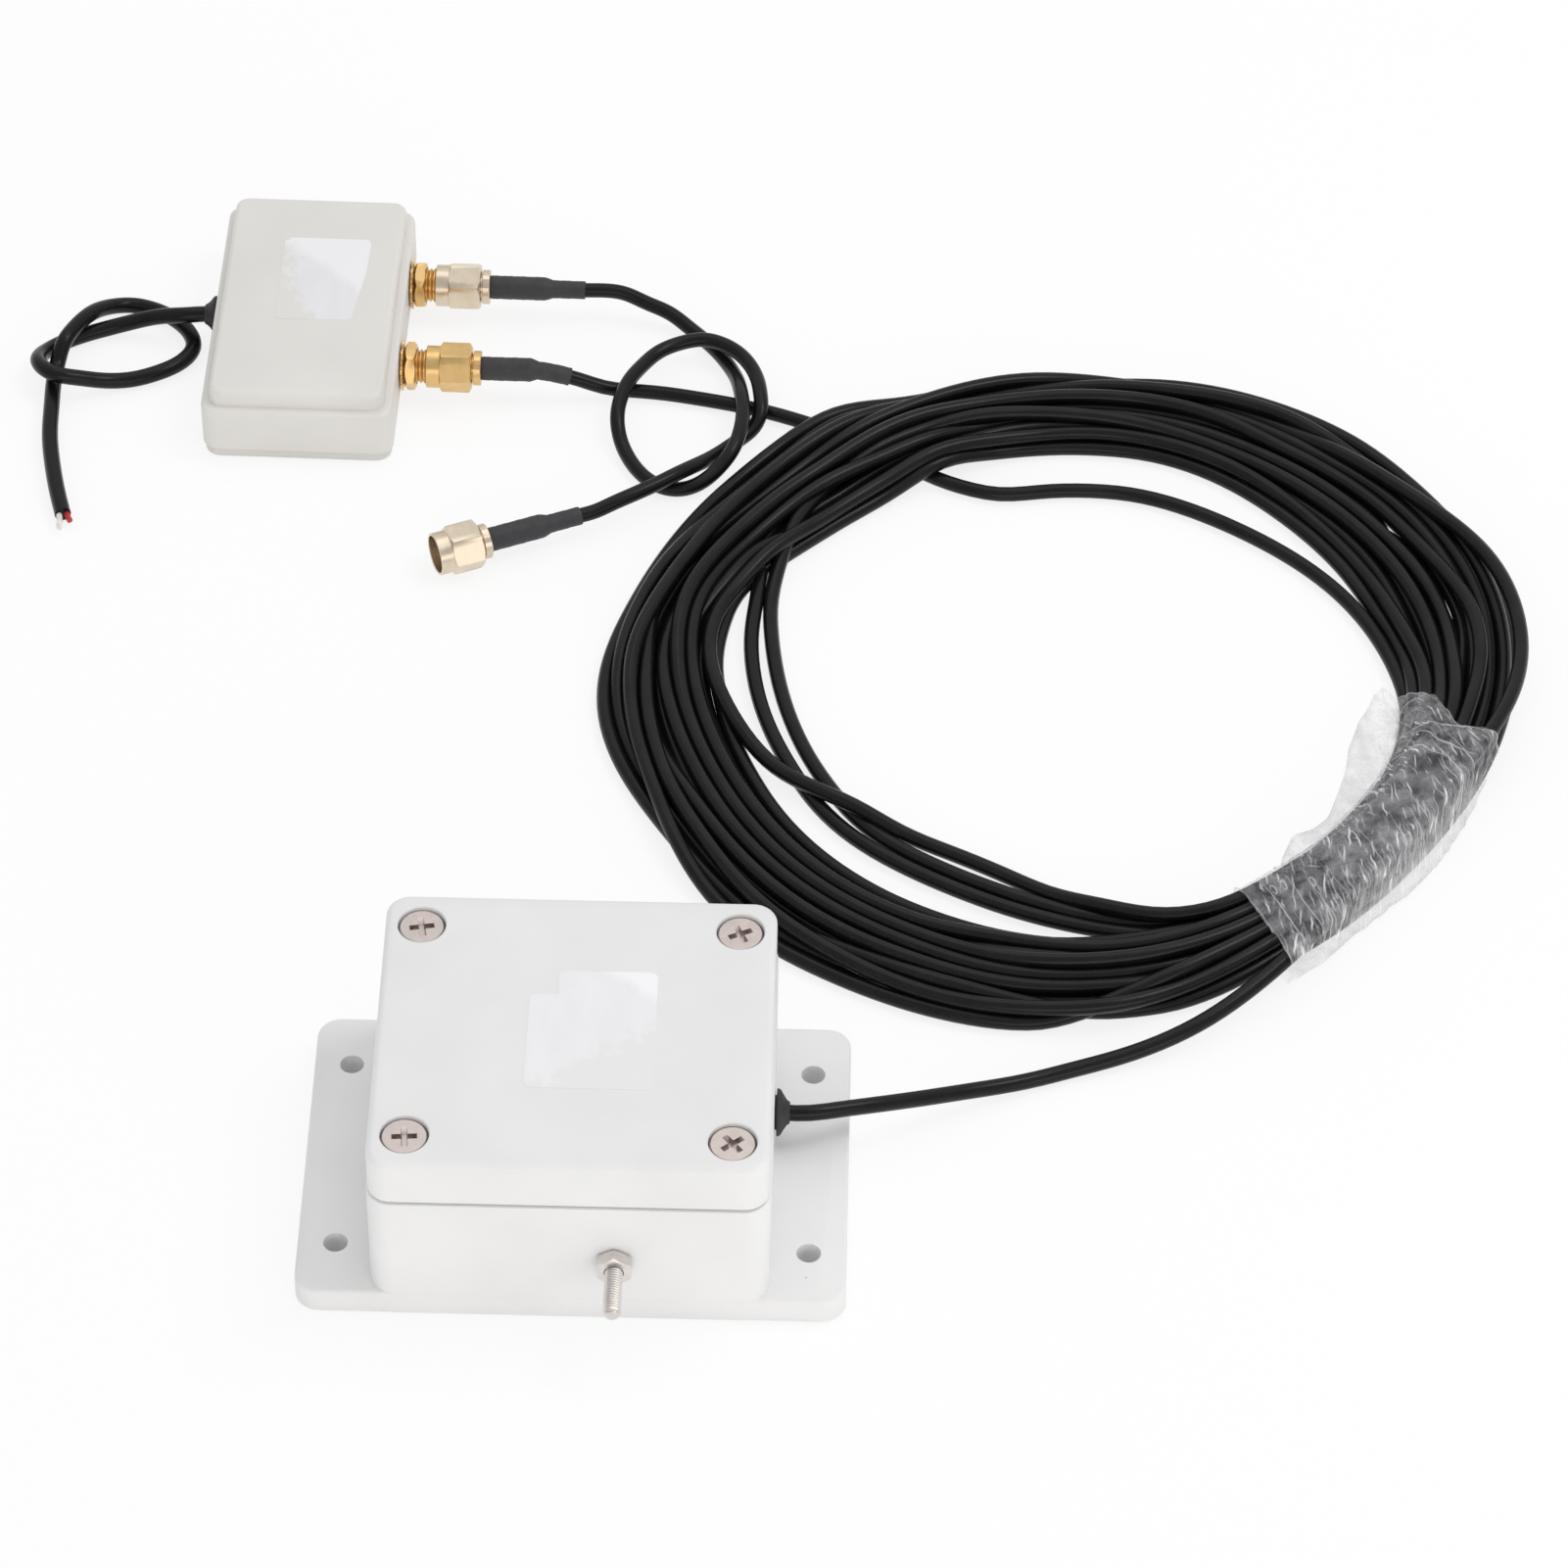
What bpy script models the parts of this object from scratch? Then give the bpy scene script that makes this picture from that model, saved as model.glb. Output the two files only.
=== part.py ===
"""Active receiving-antenna kit: a flanged antenna amplifier box, a coiled coaxial feeder
wrapped in stretch film, a small power injector box with two coaxial jacks, a knotted
patch cable with a free plug, and a knotted two-core power cable with a bare end.

Metres, +Z up. The origin is the centre of the antenna box's underside, +X runs to the
box's right and +Y away from its terminal stud. Everything lies on the plane Z = 0.
"""

import math

import bmesh
import bpy
import numpy as np
from mathutils import Matrix, Vector

for old in list(bpy.data.objects):
    bpy.data.objects.remove(old, do_unlink=True)

# Fits
FIT = 0.0003  # gap between pieces that touch or run on each other
SKIN_GAP = 0.0001  # gap under a label
ROUND_SIDES = 24  # sides of a turned piece, a multiple of 12 so that a hexagon is exact
SMALL_SIDES = 12  # sides of a small or hidden turned piece

# Antenna box
EAR_SPAN = 0.0892  # across both mounting ears
EAR_THICK = 0.0048
EAR_CORNER = 0.004
EAR_HOLE = 0.0040
EAR_HOLE_END = 0.0104  # from the ears' ends to the holes' axes
BODY_WIDTH = 0.0645
BODY_DEPTH = 0.0597
BODY_CORNER = 0.004
EAR_PROUD = 0.0001  # the ears stand this far in front of and behind the body
BOX_WALL = 0.0028
BOX_FLOOR = 0.0028
PARTING_Z = 0.0263
BOX_HEIGHT = 0.0356
LID_INSET = 0.0002  # the lid is narrower than the body on each side
LID_TOP = 0.0025
LID_EDGE = 0.0011  # rounded upper edge of the lid
SEAL_WIDTH = 0.0010
SEAL_HEIGHT = 0.0011
BOSS_REACH = 0.0042  # from a screw's axis to the inner sides of its boss

# Lid screws
SCREW_IN_X = 0.0062  # from the body's sides to a screw's axis
SCREW_IN_Y = 0.0070
SCREW_HEAD = 0.0069
SCREW_HEAD_HEIGHT = 0.0022
SCREW_SUNK = 0.0006  # the head's top lies this far below the lid's top
SCREW_SHANK = 0.0030
SCREW_LENGTH = 0.0180
SCREW_CROSS_LONG = 0.0038
SCREW_CROSS_WIDE = 0.0009
SCREW_CROSS_DEEP = 0.0011
COUNTERBORE = 0.0079

# Antenna terminal
STUD_X = 0.0074
STUD_Z = 0.0141
STUD_DIA = 0.00294
STUD_OUT = 0.0116  # beyond the front wall
STUD_HEAD = 0.0055
STUD_HEAD_THICK = 0.0022
TERMINAL_NUT_ACROSS = 0.0055
TERMINAL_NUT_THICK = 0.0024
LUG_DIA = 0.0062
LUG_THICK = 0.0005
LUG_TAIL = 0.0042
LUG_TAIL_WIDE = 0.0024
LEAD_DIA = 0.0010

# Amplifier board
BOARD_WIDTH = 0.0400
BOARD_DEPTH = 0.0330
BOARD_THICK = 0.0016
BOARD_Z = 0.0075
POST_DIA = 0.0056
POST_X = 0.0160  # from the box's centre line
BOARD_SCREW_HEAD = 0.0045
BOARD_SCREW_HEAD_THICK = 0.0016
BOARD_SCREW_SHANK = 0.0022
BOARD_SCREW_LENGTH = 0.0045
TRANSISTOR_DIA = 0.0048
TRANSISTOR_HEIGHT = 0.0046
TRANSISTOR_AT = (0.0050, -0.0080)
TRANSFORMER_DIA = 0.0095
TRANSFORMER_CORE = 0.0030  # thickness of the wound ring
TRANSFORMER_AT = (-0.0045, 0.0040)

# Grommets
GROMMET_RIM = 0.0080
GROMMET_PROUD = 0.0022
GROMMET_NECK = 0.0058
GROMMET_INNER = 0.0015
GROMMET_NOSE = 0.0036
ANTENNA_GROMMET_Y = 0.0054
ANTENNA_GROMMET_Z = 0.0110
POWER_GROMMET_RIM = 0.0070
POWER_GROMMET_Y = 0.0036  # along the injector
POWER_GROMMET_Z = 0.0062

# Labels
LABEL_THICK = 0.00015
LABEL_CORNER = 0.0018
ANTENNA_LABEL = (0.0205, 0.0256)
ANTENNA_LABEL_AT = (0.0027, 0.0004)
INJECTOR_LABEL = (0.0165, 0.0230)
INJECTOR_LABEL_AT = (0.0024, 0.0046)

# Injector box
INJECTOR_AT = (-0.0586, 0.2013)
INJECTOR_TURN = -1.07  # degrees about Z
INJECTOR_WIDTH = 0.0350
INJECTOR_LENGTH = 0.0580
INJECTOR_CORNER = 0.0030
INJECTOR_LEDGE_Z = 0.0115
INJECTOR_HEIGHT = 0.0150
INJECTOR_LEDGE = 0.0015  # the raised top is this far in from the walls
INJECTOR_EDGE = 0.0010
INJECTOR_WALL = 0.0018
INJECTOR_BASE_THICK = 0.0020
INJECTOR_BASE_INSET = 0.0004
INJECTOR_LIP = 0.0008
INJECTOR_BOARD_Z = 0.0042
INJECTOR_BOARD_WIDTH = 0.0240
INJECTOR_BOARD_LENGTH = 0.0480
CHOKE_DIA = 0.0078
CHOKE_HEIGHT = 0.0055
CHOKE_WAIST = 0.0056
CHOKE_AT = (-0.0050, 0.0020)
CAPACITOR_DIA = 0.0050
CAPACITOR_LENGTH = 0.0085
CAPACITOR_AT = (-0.0060, -0.0140)

# Coaxial jacks
JACK_Z = 0.0066
JACK_YS = {"upper": 0.0135, "lower": -0.0093}
JACK_THREAD = 0.0063
JACK_FLANGE = 0.0070
JACK_FLANGE_THICK = 0.0020
JACK_BORE = 0.0046
JACK_BORE_DEEP = 0.0050
JACK_INSULATOR = 0.0040
JACK_CONTACT = 0.0025
JACK_CONTACT_HOLE = 0.0016
JACK_NUT_ACROSS = 0.0080
JACK_NUT_THICK = 0.0021
WASHER_DIA = 0.0092
WASHER_THICK = 0.0004

# Coaxial plugs, sizes along the axis counted from the front of the coupling nut
PLUG_FROM_WALL = 0.0049  # mated plug's front, from the injector's wall
PLUG_RING = 0.0079
PLUG_RING_LONG = 0.0025
PLUG_NUT_ACROSS = 0.0080
PLUG_NUT_LONG = 0.0084
PLUG_NUT_BORE = 0.0069
PLUG_NUT_BACK = 0.0018  # thickness of the wall that holds the nut on the body
PLUG_FACE = 0.0036  # body's front face, inside the nut
PLUG_SHOULDER = 0.0062
PLUG_NECK = 0.0048
PLUG_COLLAR = 0.0067
PLUG_COLLAR_LONG = 0.0014
PLUG_BORE = 0.0038
PLUG_BORE_DEEP = 0.0024
PLUG_INSULATOR = 0.0031
PLUG_PIN = 0.0009
PLUG_PIN_OUT = 0.0019  # pin ahead of the body's face
CHAMFER = 0.0005
FREE_PLUG_AT = (-0.0321, 0.1438)
FREE_PLUG_TURN = 23.4  # degrees about Z
FREE_PLUG_Z = 0.0041

# Heat-shrink sleeves over the plugs' crimps
SLEEVE_DIA = 0.0044
SLEEVE_THICK_LONG = 0.0108
SLEEVE_THIN_DIA = 0.0034
SLEEVE_LONG = 0.0175
SLEEVE_STEP = 0.0012

# Cables
COAX_DIA = 0.00275
POWER_DIA = 0.0030
WIRE_DIA = 0.0011
WIRE_OUT = 0.0026
CORD_STEP = 0.0080  # spacing of a cord's rings
KNOT_STEP = 0.0042  # the same, in a knotted cord

# Feeder coil, seen from above it runs clockwise from its inner lower end
COIL_AT = (0.0820, 0.1153)
COIL_MID_RADIUS = 0.0700
COIL_FAN_SHIFT = 0.0004  # the loops bulge this far outwards opposite the film
COIL_LAYERS = 3
COIL_LAYER_TURNS = 5.383
COIL_PITCH = 0.00316  # between loops at the film
COIL_FAN_PITCH = 0.00440  # between loops away from the film
COIL_LAYER_STEP = 0.00325
COIL_END_IN = 0.0005  # the inner end draws this far in from the loop next to it
COIL_DENT = 0.0024  # the loops are pressed in this far beside the patch cable
COIL_DENT_AT = 145.0  # degrees
COIL_DENT_HALF = 45.0
COIL_CLIMB_BULGE = 0.055  # share of the width by which a climbing loop bulges past the others
COIL_LOOP_POINTS = 24
COIL_START = -8.0  # degrees
COIL_FILM_LIFT = 0.0006
UNDERPASS_AT = 118.0  # where the feeder runs under the coil, in degrees
UNDERPASS_HALF = 11.0
UNDERPASS_RAMP = 40.0
UNDERPASS_LIFT = 0.0034

# Stretch film round the coil
FILM_FROM = -65.0  # degrees
FILM_TO = -3.0
FILM_FADE = 48.0  # the loops fan out over this angle past the film
FILM_MID_RADIUS = 0.0698
FILM_WIDTH = 0.0226
FILM_HEIGHT = 0.0106
FILM_CORNER = 0.0029
FILM_WALL = 0.00025


# Materials
def material(name, colour, roughness, metallic=0.0):
    made = bpy.data.materials.new(name)
    made.use_nodes = True
    shader = made.node_tree.nodes["Principled BSDF"]
    shader.inputs["Base Color"].default_value = (*colour, 1.0)
    shader.inputs["Roughness"].default_value = roughness
    shader.inputs["Metallic"].default_value = metallic
    return made


ABS_WHITE = material("light grey moulded plastic", (0.78, 0.78, 0.78), 0.5)
ABS_WARM = material("warm grey moulded plastic", (0.72, 0.71, 0.67), 0.5)
RUBBER = material("black rubber", (0.03, 0.03, 0.032), 0.7)
SEAL_RUBBER = material("grey seal rubber", (0.12, 0.12, 0.12), 0.8)
NICKEL = material("nickel-plated steel", (0.70, 0.66, 0.62), 0.3, 1.0)
GOLD = material("gold-plated brass", (0.80, 0.60, 0.26), 0.28, 1.0)
PALE_GOLD = material("pale gold-plated brass", (0.78, 0.69, 0.54), 0.28, 1.0)
PTFE = material("white insulator", (0.86, 0.85, 0.82), 0.5)
BOARD_GREEN = material("green circuit board", (0.05, 0.22, 0.09), 0.4)
COMPONENT = material("black component body", (0.02, 0.02, 0.02), 0.5)
FERRITE = material("wound ferrite", (0.30, 0.13, 0.05), 0.45)
CABLE = material("black cable jacket", (0.020, 0.020, 0.023), 0.42)
SHRINK = material("charcoal heat-shrink", (0.033, 0.032, 0.035), 0.6)
WIRE_WHITE = material("white wire", (0.85, 0.84, 0.82), 0.5)
WIRE_RED = material("red wire", (0.55, 0.03, 0.03), 0.5)
LABEL = material("blank label", (0.86, 0.86, 0.88), 0.35)
FILM = material("clear film", (0.80, 0.81, 0.83), 0.15)


# Shapes
def rounded_outline(width, depth, radius, steps=4, centre=(0, 0)):
    """Corner arcs of a rounded rectangle, anticlockwise."""
    points = []
    for quarter, (sx, sy) in enumerate(((1, 1), (-1, 1), (-1, -1), (1, -1))):
        cx = centre[0] + sx * (width / 2 - radius)
        cy = centre[1] + sy * (depth / 2 - radius)
        for i in range(steps + 1):
            angle = math.pi / 2 * (quarter + i / steps)
            points.append((cx + radius * math.cos(angle), cy + radius * math.sin(angle)))
    return points


def loft(loops, closed=False):
    """A body through loops of as many points each, capped at both ends or joined in a ring."""
    bm = bmesh.new()
    rings = [[bm.verts.new(point) for point in loop] for loop in loops]
    pairs = list(zip(rings, rings[1:]))
    if closed:
        pairs.append((rings[-1], rings[0]))
    for first, second in pairs:
        for i in range(len(first)):
            j = (i + 1) % len(first)
            bm.faces.new((first[i], first[j], second[j], second[i]))
    if not closed:
        bm.faces.new(rings[0])
        bm.faces.new(rings[-1])
    bmesh.ops.recalc_face_normals(bm, faces=bm.faces)
    return bm


def level(outline, z):
    return [(x, y, z) for x, y in outline]


def prism(outline, low, high):
    return loft([level(outline, low), level(outline, high)])


def around(sides, z, radius, hexagon=False):
    """A loop round Z: a circle, or a hexagon whose flats lie at this radius."""
    points = []
    for i in range(sides):
        angle = 2 * math.pi * i / sides
        reach = radius
        if hexagon:
            reach /= math.cos((angle + math.pi / 6) % (math.pi / 3) - math.pi / 6)
        points.append((reach * math.cos(angle), reach * math.sin(angle), z))
    return points


def turned(stations, closed=False, sides=ROUND_SIDES):
    """A body turned round Z from (z, radius) stations, a third value True making a hexagon."""
    return loft([around(sides, *station) for station in stations], closed)


def merge(*bodies):
    """Separate bodies in one mesh, for a cutter."""
    whole = bmesh.new()
    for bm in bodies:
        spare = bpy.data.meshes.new("spare")
        bm.to_mesh(spare)
        bm.free()
        whole.from_mesh(spare)
        bpy.data.meshes.remove(spare)
    return whole


def moved(bm, matrix):
    bmesh.ops.transform(bm, matrix=matrix, verts=bm.verts)
    return bm


def at(x, y, z=0.0):
    return Matrix.Translation((x, y, z))


ALONG_X = Matrix.Rotation(math.pi / 2, 4, "Y")  # turns +Z to +X
ALONG_MINUS_X = Matrix.Rotation(-math.pi / 2, 4, "Y")
ALONG_MINUS_Y = Matrix.Rotation(math.pi / 2, 4, "X")


def add(name, bm, finish, parent=None, place=None):
    mesh = bpy.data.meshes.new(name)
    bm.to_mesh(mesh)
    bm.free()
    mesh.materials.append(finish)
    mesh.shade_smooth()
    mesh.set_sharp_from_angle(angle=math.radians(35))
    piece = bpy.data.objects.new(name, mesh)
    bpy.context.scene.collection.objects.link(piece)
    piece.parent = parent
    if place is not None:
        piece.matrix_basis = place
    return piece


def boolean(piece, bm, operation):
    """Joins a helper body to a piece, or cuts it away."""
    name = f"{piece.name}_{operation.lower()}_{len(piece.modifiers)}"
    tool = add(name, bm, piece.data.materials[0], piece.parent, piece.matrix_basis.copy())
    tool.hide_render = True
    tool.display_type = "WIRE"
    modifier = piece.modifiers.new(operation.lower(), "BOOLEAN")
    modifier.operation = operation
    modifier.object = tool


def drill(low, high, diameter, sides=ROUND_SIDES):
    return turned([(low, diameter / 2), (high, diameter / 2)], sides=sides)


def frame(name, matrix):
    empty = bpy.data.objects.new(name, None)
    bpy.context.scene.collection.objects.link(empty)
    empty.matrix_basis = matrix
    return empty


# Cords
def spline_at(points, step):
    """Points at even steps along the natural cubic spline through a route."""
    route = np.array(points, float)
    gaps = np.linalg.norm(np.diff(route, axis=0), axis=1)
    knots = np.concatenate([[0.0], np.cumsum(gaps)])
    count = len(route)
    matrix = np.eye(count)
    right = np.zeros((count, 3))
    for i in range(1, count - 1):
        before, after = gaps[i - 1], gaps[i]
        matrix[i, i - 1 : i + 2] = before, 2 * (before + after), after
        rise_after = (route[i + 1] - route[i]) / after
        rise_before = (route[i] - route[i - 1]) / before
        right[i] = 6 * (rise_after - rise_before)
    bends = np.linalg.solve(matrix, right)

    def read(along):
        i = np.clip(np.searchsorted(knots, along) - 1, 0, count - 2)
        gap = gaps[i][:, None]
        a = (knots[i + 1] - along)[:, None]
        b = (along - knots[i])[:, None]
        return (
            (bends[i] * a**3 + bends[i + 1] * b**3) / (6 * gap)
            + (route[i] / gap - bends[i] * gap / 6) * a
            + (route[i + 1] / gap - bends[i + 1] * gap / 6) * b
        )

    fine = read(np.linspace(0, knots[-1], 60 * count))
    lengths = np.concatenate([[0.0], np.cumsum(np.linalg.norm(np.diff(fine, axis=0), axis=1))])
    steps = max(2, round(lengths[-1] / step))
    wanted = np.linspace(0, lengths[-1], steps + 1)
    return np.stack([np.interp(wanted, lengths, fine[:, k]) for k in range(3)], axis=1)


def tube(name, points, diameter, finish, sides=2, radii=None, parent=None):
    """A round tube with filled ends along these points; radii scale it point by point."""
    curve = bpy.data.curves.new(name, "CURVE")
    curve.dimensions = "3D"
    curve.bevel_depth = diameter / 2
    curve.bevel_resolution = sides
    curve.use_fill_caps = True
    spline = curve.splines.new("POLY")
    spline.points.add(len(points) - 1)
    for i, point in enumerate(points):
        spline.points[i].co = (*point, 1.0)
        spline.points[i].radius = 1.0 if radii is None else radii[i]
    curve.materials.append(finish)
    piece = bpy.data.objects.new(name, curve)
    bpy.context.scene.collection.objects.link(piece)
    piece.parent = parent
    return piece


# Antenna box base: ears, walls, corner bosses, board posts and all its holes
front_y = -BODY_DEPTH / 2
right_x = BODY_WIDTH / 2
signs = ((-1, 1), (1, 1), (-1, -1), (1, -1))
screw_x = BODY_WIDTH / 2 - SCREW_IN_X
screw_y = BODY_DEPTH / 2 - SCREW_IN_Y
ear_hole_x = (BODY_WIDTH + EAR_SPAN) / 4  # the middle of an ear
ear_hole_y = BODY_DEPTH / 2 - EAR_HOLE_END
screw_spots = [(i * screw_x, j * screw_y) for i, j in signs]
ear_spots = [(i * ear_hole_x, j * ear_hole_y) for i, j in signs]
head_top = BOX_HEIGHT - SCREW_SUNK
seat_z = head_top - SCREW_HEAD_HEIGHT - FIT
screw_tip = head_top - SCREW_LENGTH


def notched(width, depth, corner_x, corner_y):
    """A rectangle less its four corners, which hold the screw bosses."""
    x, y = width / 2, depth / 2
    return [
        (x, corner_y),
        (corner_x, corner_y),
        (corner_x, y),
        (-corner_x, y),
        (-corner_x, corner_y),
        (-x, corner_y),
        (-x, -corner_y),
        (-corner_x, -corner_y),
        (-corner_x, -y),
        (corner_x, -y),
        (corner_x, -corner_y),
        (x, -corner_y),
    ]


boss_x = screw_x - BOSS_REACH
boss_y = screw_y - BOSS_REACH
inner_width = BODY_WIDTH - 2 * BOX_WALL
inner_depth = BODY_DEPTH - 2 * BOX_WALL
cavity_outline = notched(inner_width, inner_depth, boss_x, boss_y)
ear_outline = rounded_outline(EAR_SPAN, BODY_DEPTH + 2 * EAR_PROUD, EAR_CORNER)
body_outline = rounded_outline(BODY_WIDTH, BODY_DEPTH, BODY_CORNER)
grommet_hole = GROMMET_NECK + 2 * FIT
stud_place = at(STUD_X, front_y, STUD_Z) @ ALONG_MINUS_Y
grommet_place = at(right_x, ANTENNA_GROMMET_Y, ANTENNA_GROMMET_Z) @ ALONG_X

base = add("antenna_box_base", prism(ear_outline, 0, EAR_THICK), ABS_WHITE)
boolean(base, prism(body_outline, BOX_FLOOR / 2, PARTING_Z), "UNION")
boolean(base, prism(cavity_outline, BOX_FLOOR, PARTING_Z + BOX_WALL), "DIFFERENCE")
base_holes = [
    moved(drill(-EAR_THICK, 2 * EAR_THICK, EAR_HOLE, SMALL_SIDES), at(x, y)) for x, y in ear_spots
]
for x, y in screw_spots:
    pilot = drill(screw_tip - SCREW_SHANK, PARTING_Z + BOX_WALL, SCREW_SHANK + 2 * FIT, SMALL_SIDES)
    base_holes.append(moved(pilot, at(x, y)))
base_holes.append(moved(drill(-2 * BOX_WALL, BOX_WALL, STUD_DIA + 2 * FIT, SMALL_SIDES), stud_place))
base_holes.append(moved(drill(-2 * BOX_WALL, BOX_WALL, grommet_hole), grommet_place))
boolean(base, merge(*base_holes), "DIFFERENCE")
post_top = BOARD_Z - FIT
posts = merge(
    moved(drill(BOX_FLOOR / 2, post_top, POST_DIA, SMALL_SIDES), at(-POST_X, 0)),
    moved(drill(BOX_FLOOR / 2, post_top, POST_DIA, SMALL_SIDES), at(POST_X, 0)),
)
boolean(base, posts, "UNION")
board_screw_under = BOARD_Z + BOARD_THICK + FIT
board_screw_tip = board_screw_under - BOARD_SCREW_LENGTH
post_hole = BOARD_SCREW_SHANK + 2 * FIT
post_holes = merge(
    moved(drill(board_screw_tip - FIT, BOARD_Z, post_hole, SMALL_SIDES), at(-POST_X, 0)),
    moved(drill(board_screw_tip - FIT, BOARD_Z, post_hole, SMALL_SIDES), at(POST_X, 0)),
)
boolean(base, post_holes, "DIFFERENCE")

# Antenna box lid, with its seal groove and counterbored screw holes
lid_width = BODY_WIDTH - 2 * LID_INSET
lid_depth = BODY_DEPTH - 2 * LID_INSET
lid_low = PARTING_Z + FIT


def lid_loop(inset, z):
    return level(rounded_outline(lid_width - 2 * inset, lid_depth - 2 * inset, BODY_CORNER - inset), z)


lid = add(
    "antenna_box_lid",
    loft(
        [
            lid_loop(0, lid_low),
            lid_loop(0, BOX_HEIGHT - LID_EDGE),
            lid_loop(0.3 * LID_EDGE, BOX_HEIGHT - 0.3 * LID_EDGE),
            lid_loop(LID_EDGE, BOX_HEIGHT),
        ]
    ),
    ABS_WHITE,
)
boolean(lid, prism(cavity_outline, lid_low - BOX_WALL, BOX_HEIGHT - LID_TOP), "DIFFERENCE")


def seal_loop(offset, z):
    """A loop round the middle of the box's rim, this far out from it."""
    inset = BOX_WALL / 2 - offset
    width = BODY_WIDTH - 2 * inset
    depth = BODY_DEPTH - 2 * inset
    return level(rounded_outline(width, depth, BODY_CORNER - inset), z)


def seal_ring(half, low, high):
    corners = ((-half, low), (half, low), (half, high), (-half, high))
    return loft([seal_loop(offset, z) for offset, z in corners], closed=True)


seal_low = PARTING_Z + FIT
seal_high = seal_low + SEAL_HEIGHT
boolean(lid, seal_ring(SEAL_WIDTH / 2 + FIT, lid_low - SEAL_HEIGHT, seal_high + FIT), "DIFFERENCE")
lid_holes = []
for x, y in screw_spots:
    bore = COUNTERBORE / 2
    hole = SCREW_SHANK / 2 + FIT
    stations = [(lid_low - BOX_WALL, hole), (seat_z, hole), (seat_z, bore), (BOX_HEIGHT + LID_TOP, bore)]
    lid_holes.append(moved(turned(stations), at(x, y)))
boolean(lid, merge(*lid_holes), "DIFFERENCE")
add("lid_seal", seal_ring(SEAL_WIDTH / 2, seal_low, seal_high), SEAL_RUBBER)

# Lid screws, each with its origin on its axis at the head's top
head = SCREW_HEAD / 2
shank = SCREW_SHANK / 2
screw_stations = [
    (0, 0.72 * head),
    (-0.25 * SCREW_HEAD_HEIGHT, head),
    (-SCREW_HEAD_HEIGHT, head),
    (-SCREW_HEAD_HEIGHT, shank),
    (-SCREW_LENGTH + shank, shank),
    (-SCREW_LENGTH, 0.4 * shank),
]
cross = notched(SCREW_CROSS_LONG, SCREW_CROSS_LONG, SCREW_CROSS_WIDE / 2, SCREW_CROSS_WIDE / 2)
for number, (x, y) in enumerate(screw_spots, start=1):
    screw = add(f"lid_screw_{number}", turned(screw_stations, sides=SMALL_SIDES), NICKEL, place=at(x, y, head_top))
    boolean(screw, prism(cross, -SCREW_CROSS_DEEP, SCREW_CROSS_DEEP), "DIFFERENCE")

# Terminal stud through the front wall, its outer nut, and the solder lug behind the wall
lug_at = -BOX_WALL - FIT  # along the stud, inside the wall
stud_head_at = lug_at - LUG_THICK - FIT
stud = STUD_DIA / 2
stud_stations = [
    (stud_head_at - STUD_HEAD_THICK, 0.3 * STUD_HEAD),
    (stud_head_at - 0.4 * STUD_HEAD_THICK, STUD_HEAD / 2),
    (stud_head_at, STUD_HEAD / 2),
    (stud_head_at, stud),
    (STUD_OUT - 0.35 * stud, stud),
    (STUD_OUT, 0.65 * stud),
]
add("terminal_stud", turned(stud_stations, sides=SMALL_SIDES), NICKEL, place=stud_place)


def nut_ring(across, low, high, hole, chamfer):
    """A hexagon nut with chamfered corners, as a closed ring of stations."""
    flat = across / 2
    return turned(
        [
            (low, hole),
            (low, flat),
            (low + chamfer, flat, True),
            (high - chamfer, flat, True),
            (high, flat),
            (high, hole),
        ],
        closed=True,
    )


nut_far = FIT + TERMINAL_NUT_THICK
terminal_nut = nut_ring(TERMINAL_NUT_ACROSS, FIT, nut_far, stud + FIT, 0.7 * CHAMFER)
add("terminal_nut", terminal_nut, NICKEL, place=stud_place)
lug = add("terminal_lug", drill(lug_at - LUG_THICK, lug_at, LUG_DIA), NICKEL, place=stud_place)
lug_reach = LUG_DIA / 2 + LUG_TAIL
tail_outline = [
    (-LUG_TAIL_WIDE / 2, 0),
    (LUG_TAIL_WIDE / 2, 0),
    (LUG_TAIL_WIDE / 2, lug_reach),
    (-LUG_TAIL_WIDE / 2, lug_reach),
]
boolean(lug, prism(tail_outline, lug_at - LUG_THICK, lug_at), "UNION")
boolean(lug, drill(lug_at - 2 * LUG_THICK, lug_at + LUG_THICK, STUD_DIA + 2 * FIT), "DIFFERENCE")

# Amplifier board on two posts, with its screws and main components
board_top = BOARD_Z + BOARD_THICK
board_outline = rounded_outline(BOARD_WIDTH, BOARD_DEPTH, BODY_CORNER / 4)
board = add("amplifier_board", prism(board_outline, BOARD_Z, board_top), BOARD_GREEN)
board_holes = merge(
    moved(drill(BOARD_Z - BOARD_THICK, board_top + BOARD_THICK, post_hole, SMALL_SIDES), at(-POST_X, 0)),
    moved(drill(BOARD_Z - BOARD_THICK, board_top + BOARD_THICK, post_hole, SMALL_SIDES), at(POST_X, 0)),
)
boolean(board, board_holes, "DIFFERENCE")
for number, x in enumerate((-POST_X, POST_X), start=1):
    board_screw = turned(
        [
            (BOARD_SCREW_HEAD_THICK, 0.35 * BOARD_SCREW_HEAD),
            (0.5 * BOARD_SCREW_HEAD_THICK, BOARD_SCREW_HEAD / 2),
            (0, BOARD_SCREW_HEAD / 2),
            (0, BOARD_SCREW_SHANK / 2),
            (-BOARD_SCREW_LENGTH, BOARD_SCREW_SHANK / 2),
        ],
        sides=SMALL_SIDES,
    )
    add(f"board_screw_{number}", board_screw, NICKEL, place=at(x, 0, board_screw_under))
part_low = board_top + FIT
transistor_outline = [
    (TRANSISTOR_DIA / 2 * math.cos(angle), TRANSISTOR_DIA / 2 * max(math.sin(angle), -0.55))
    for angle in [2 * math.pi * i / 16 for i in range(16)]
]
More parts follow.
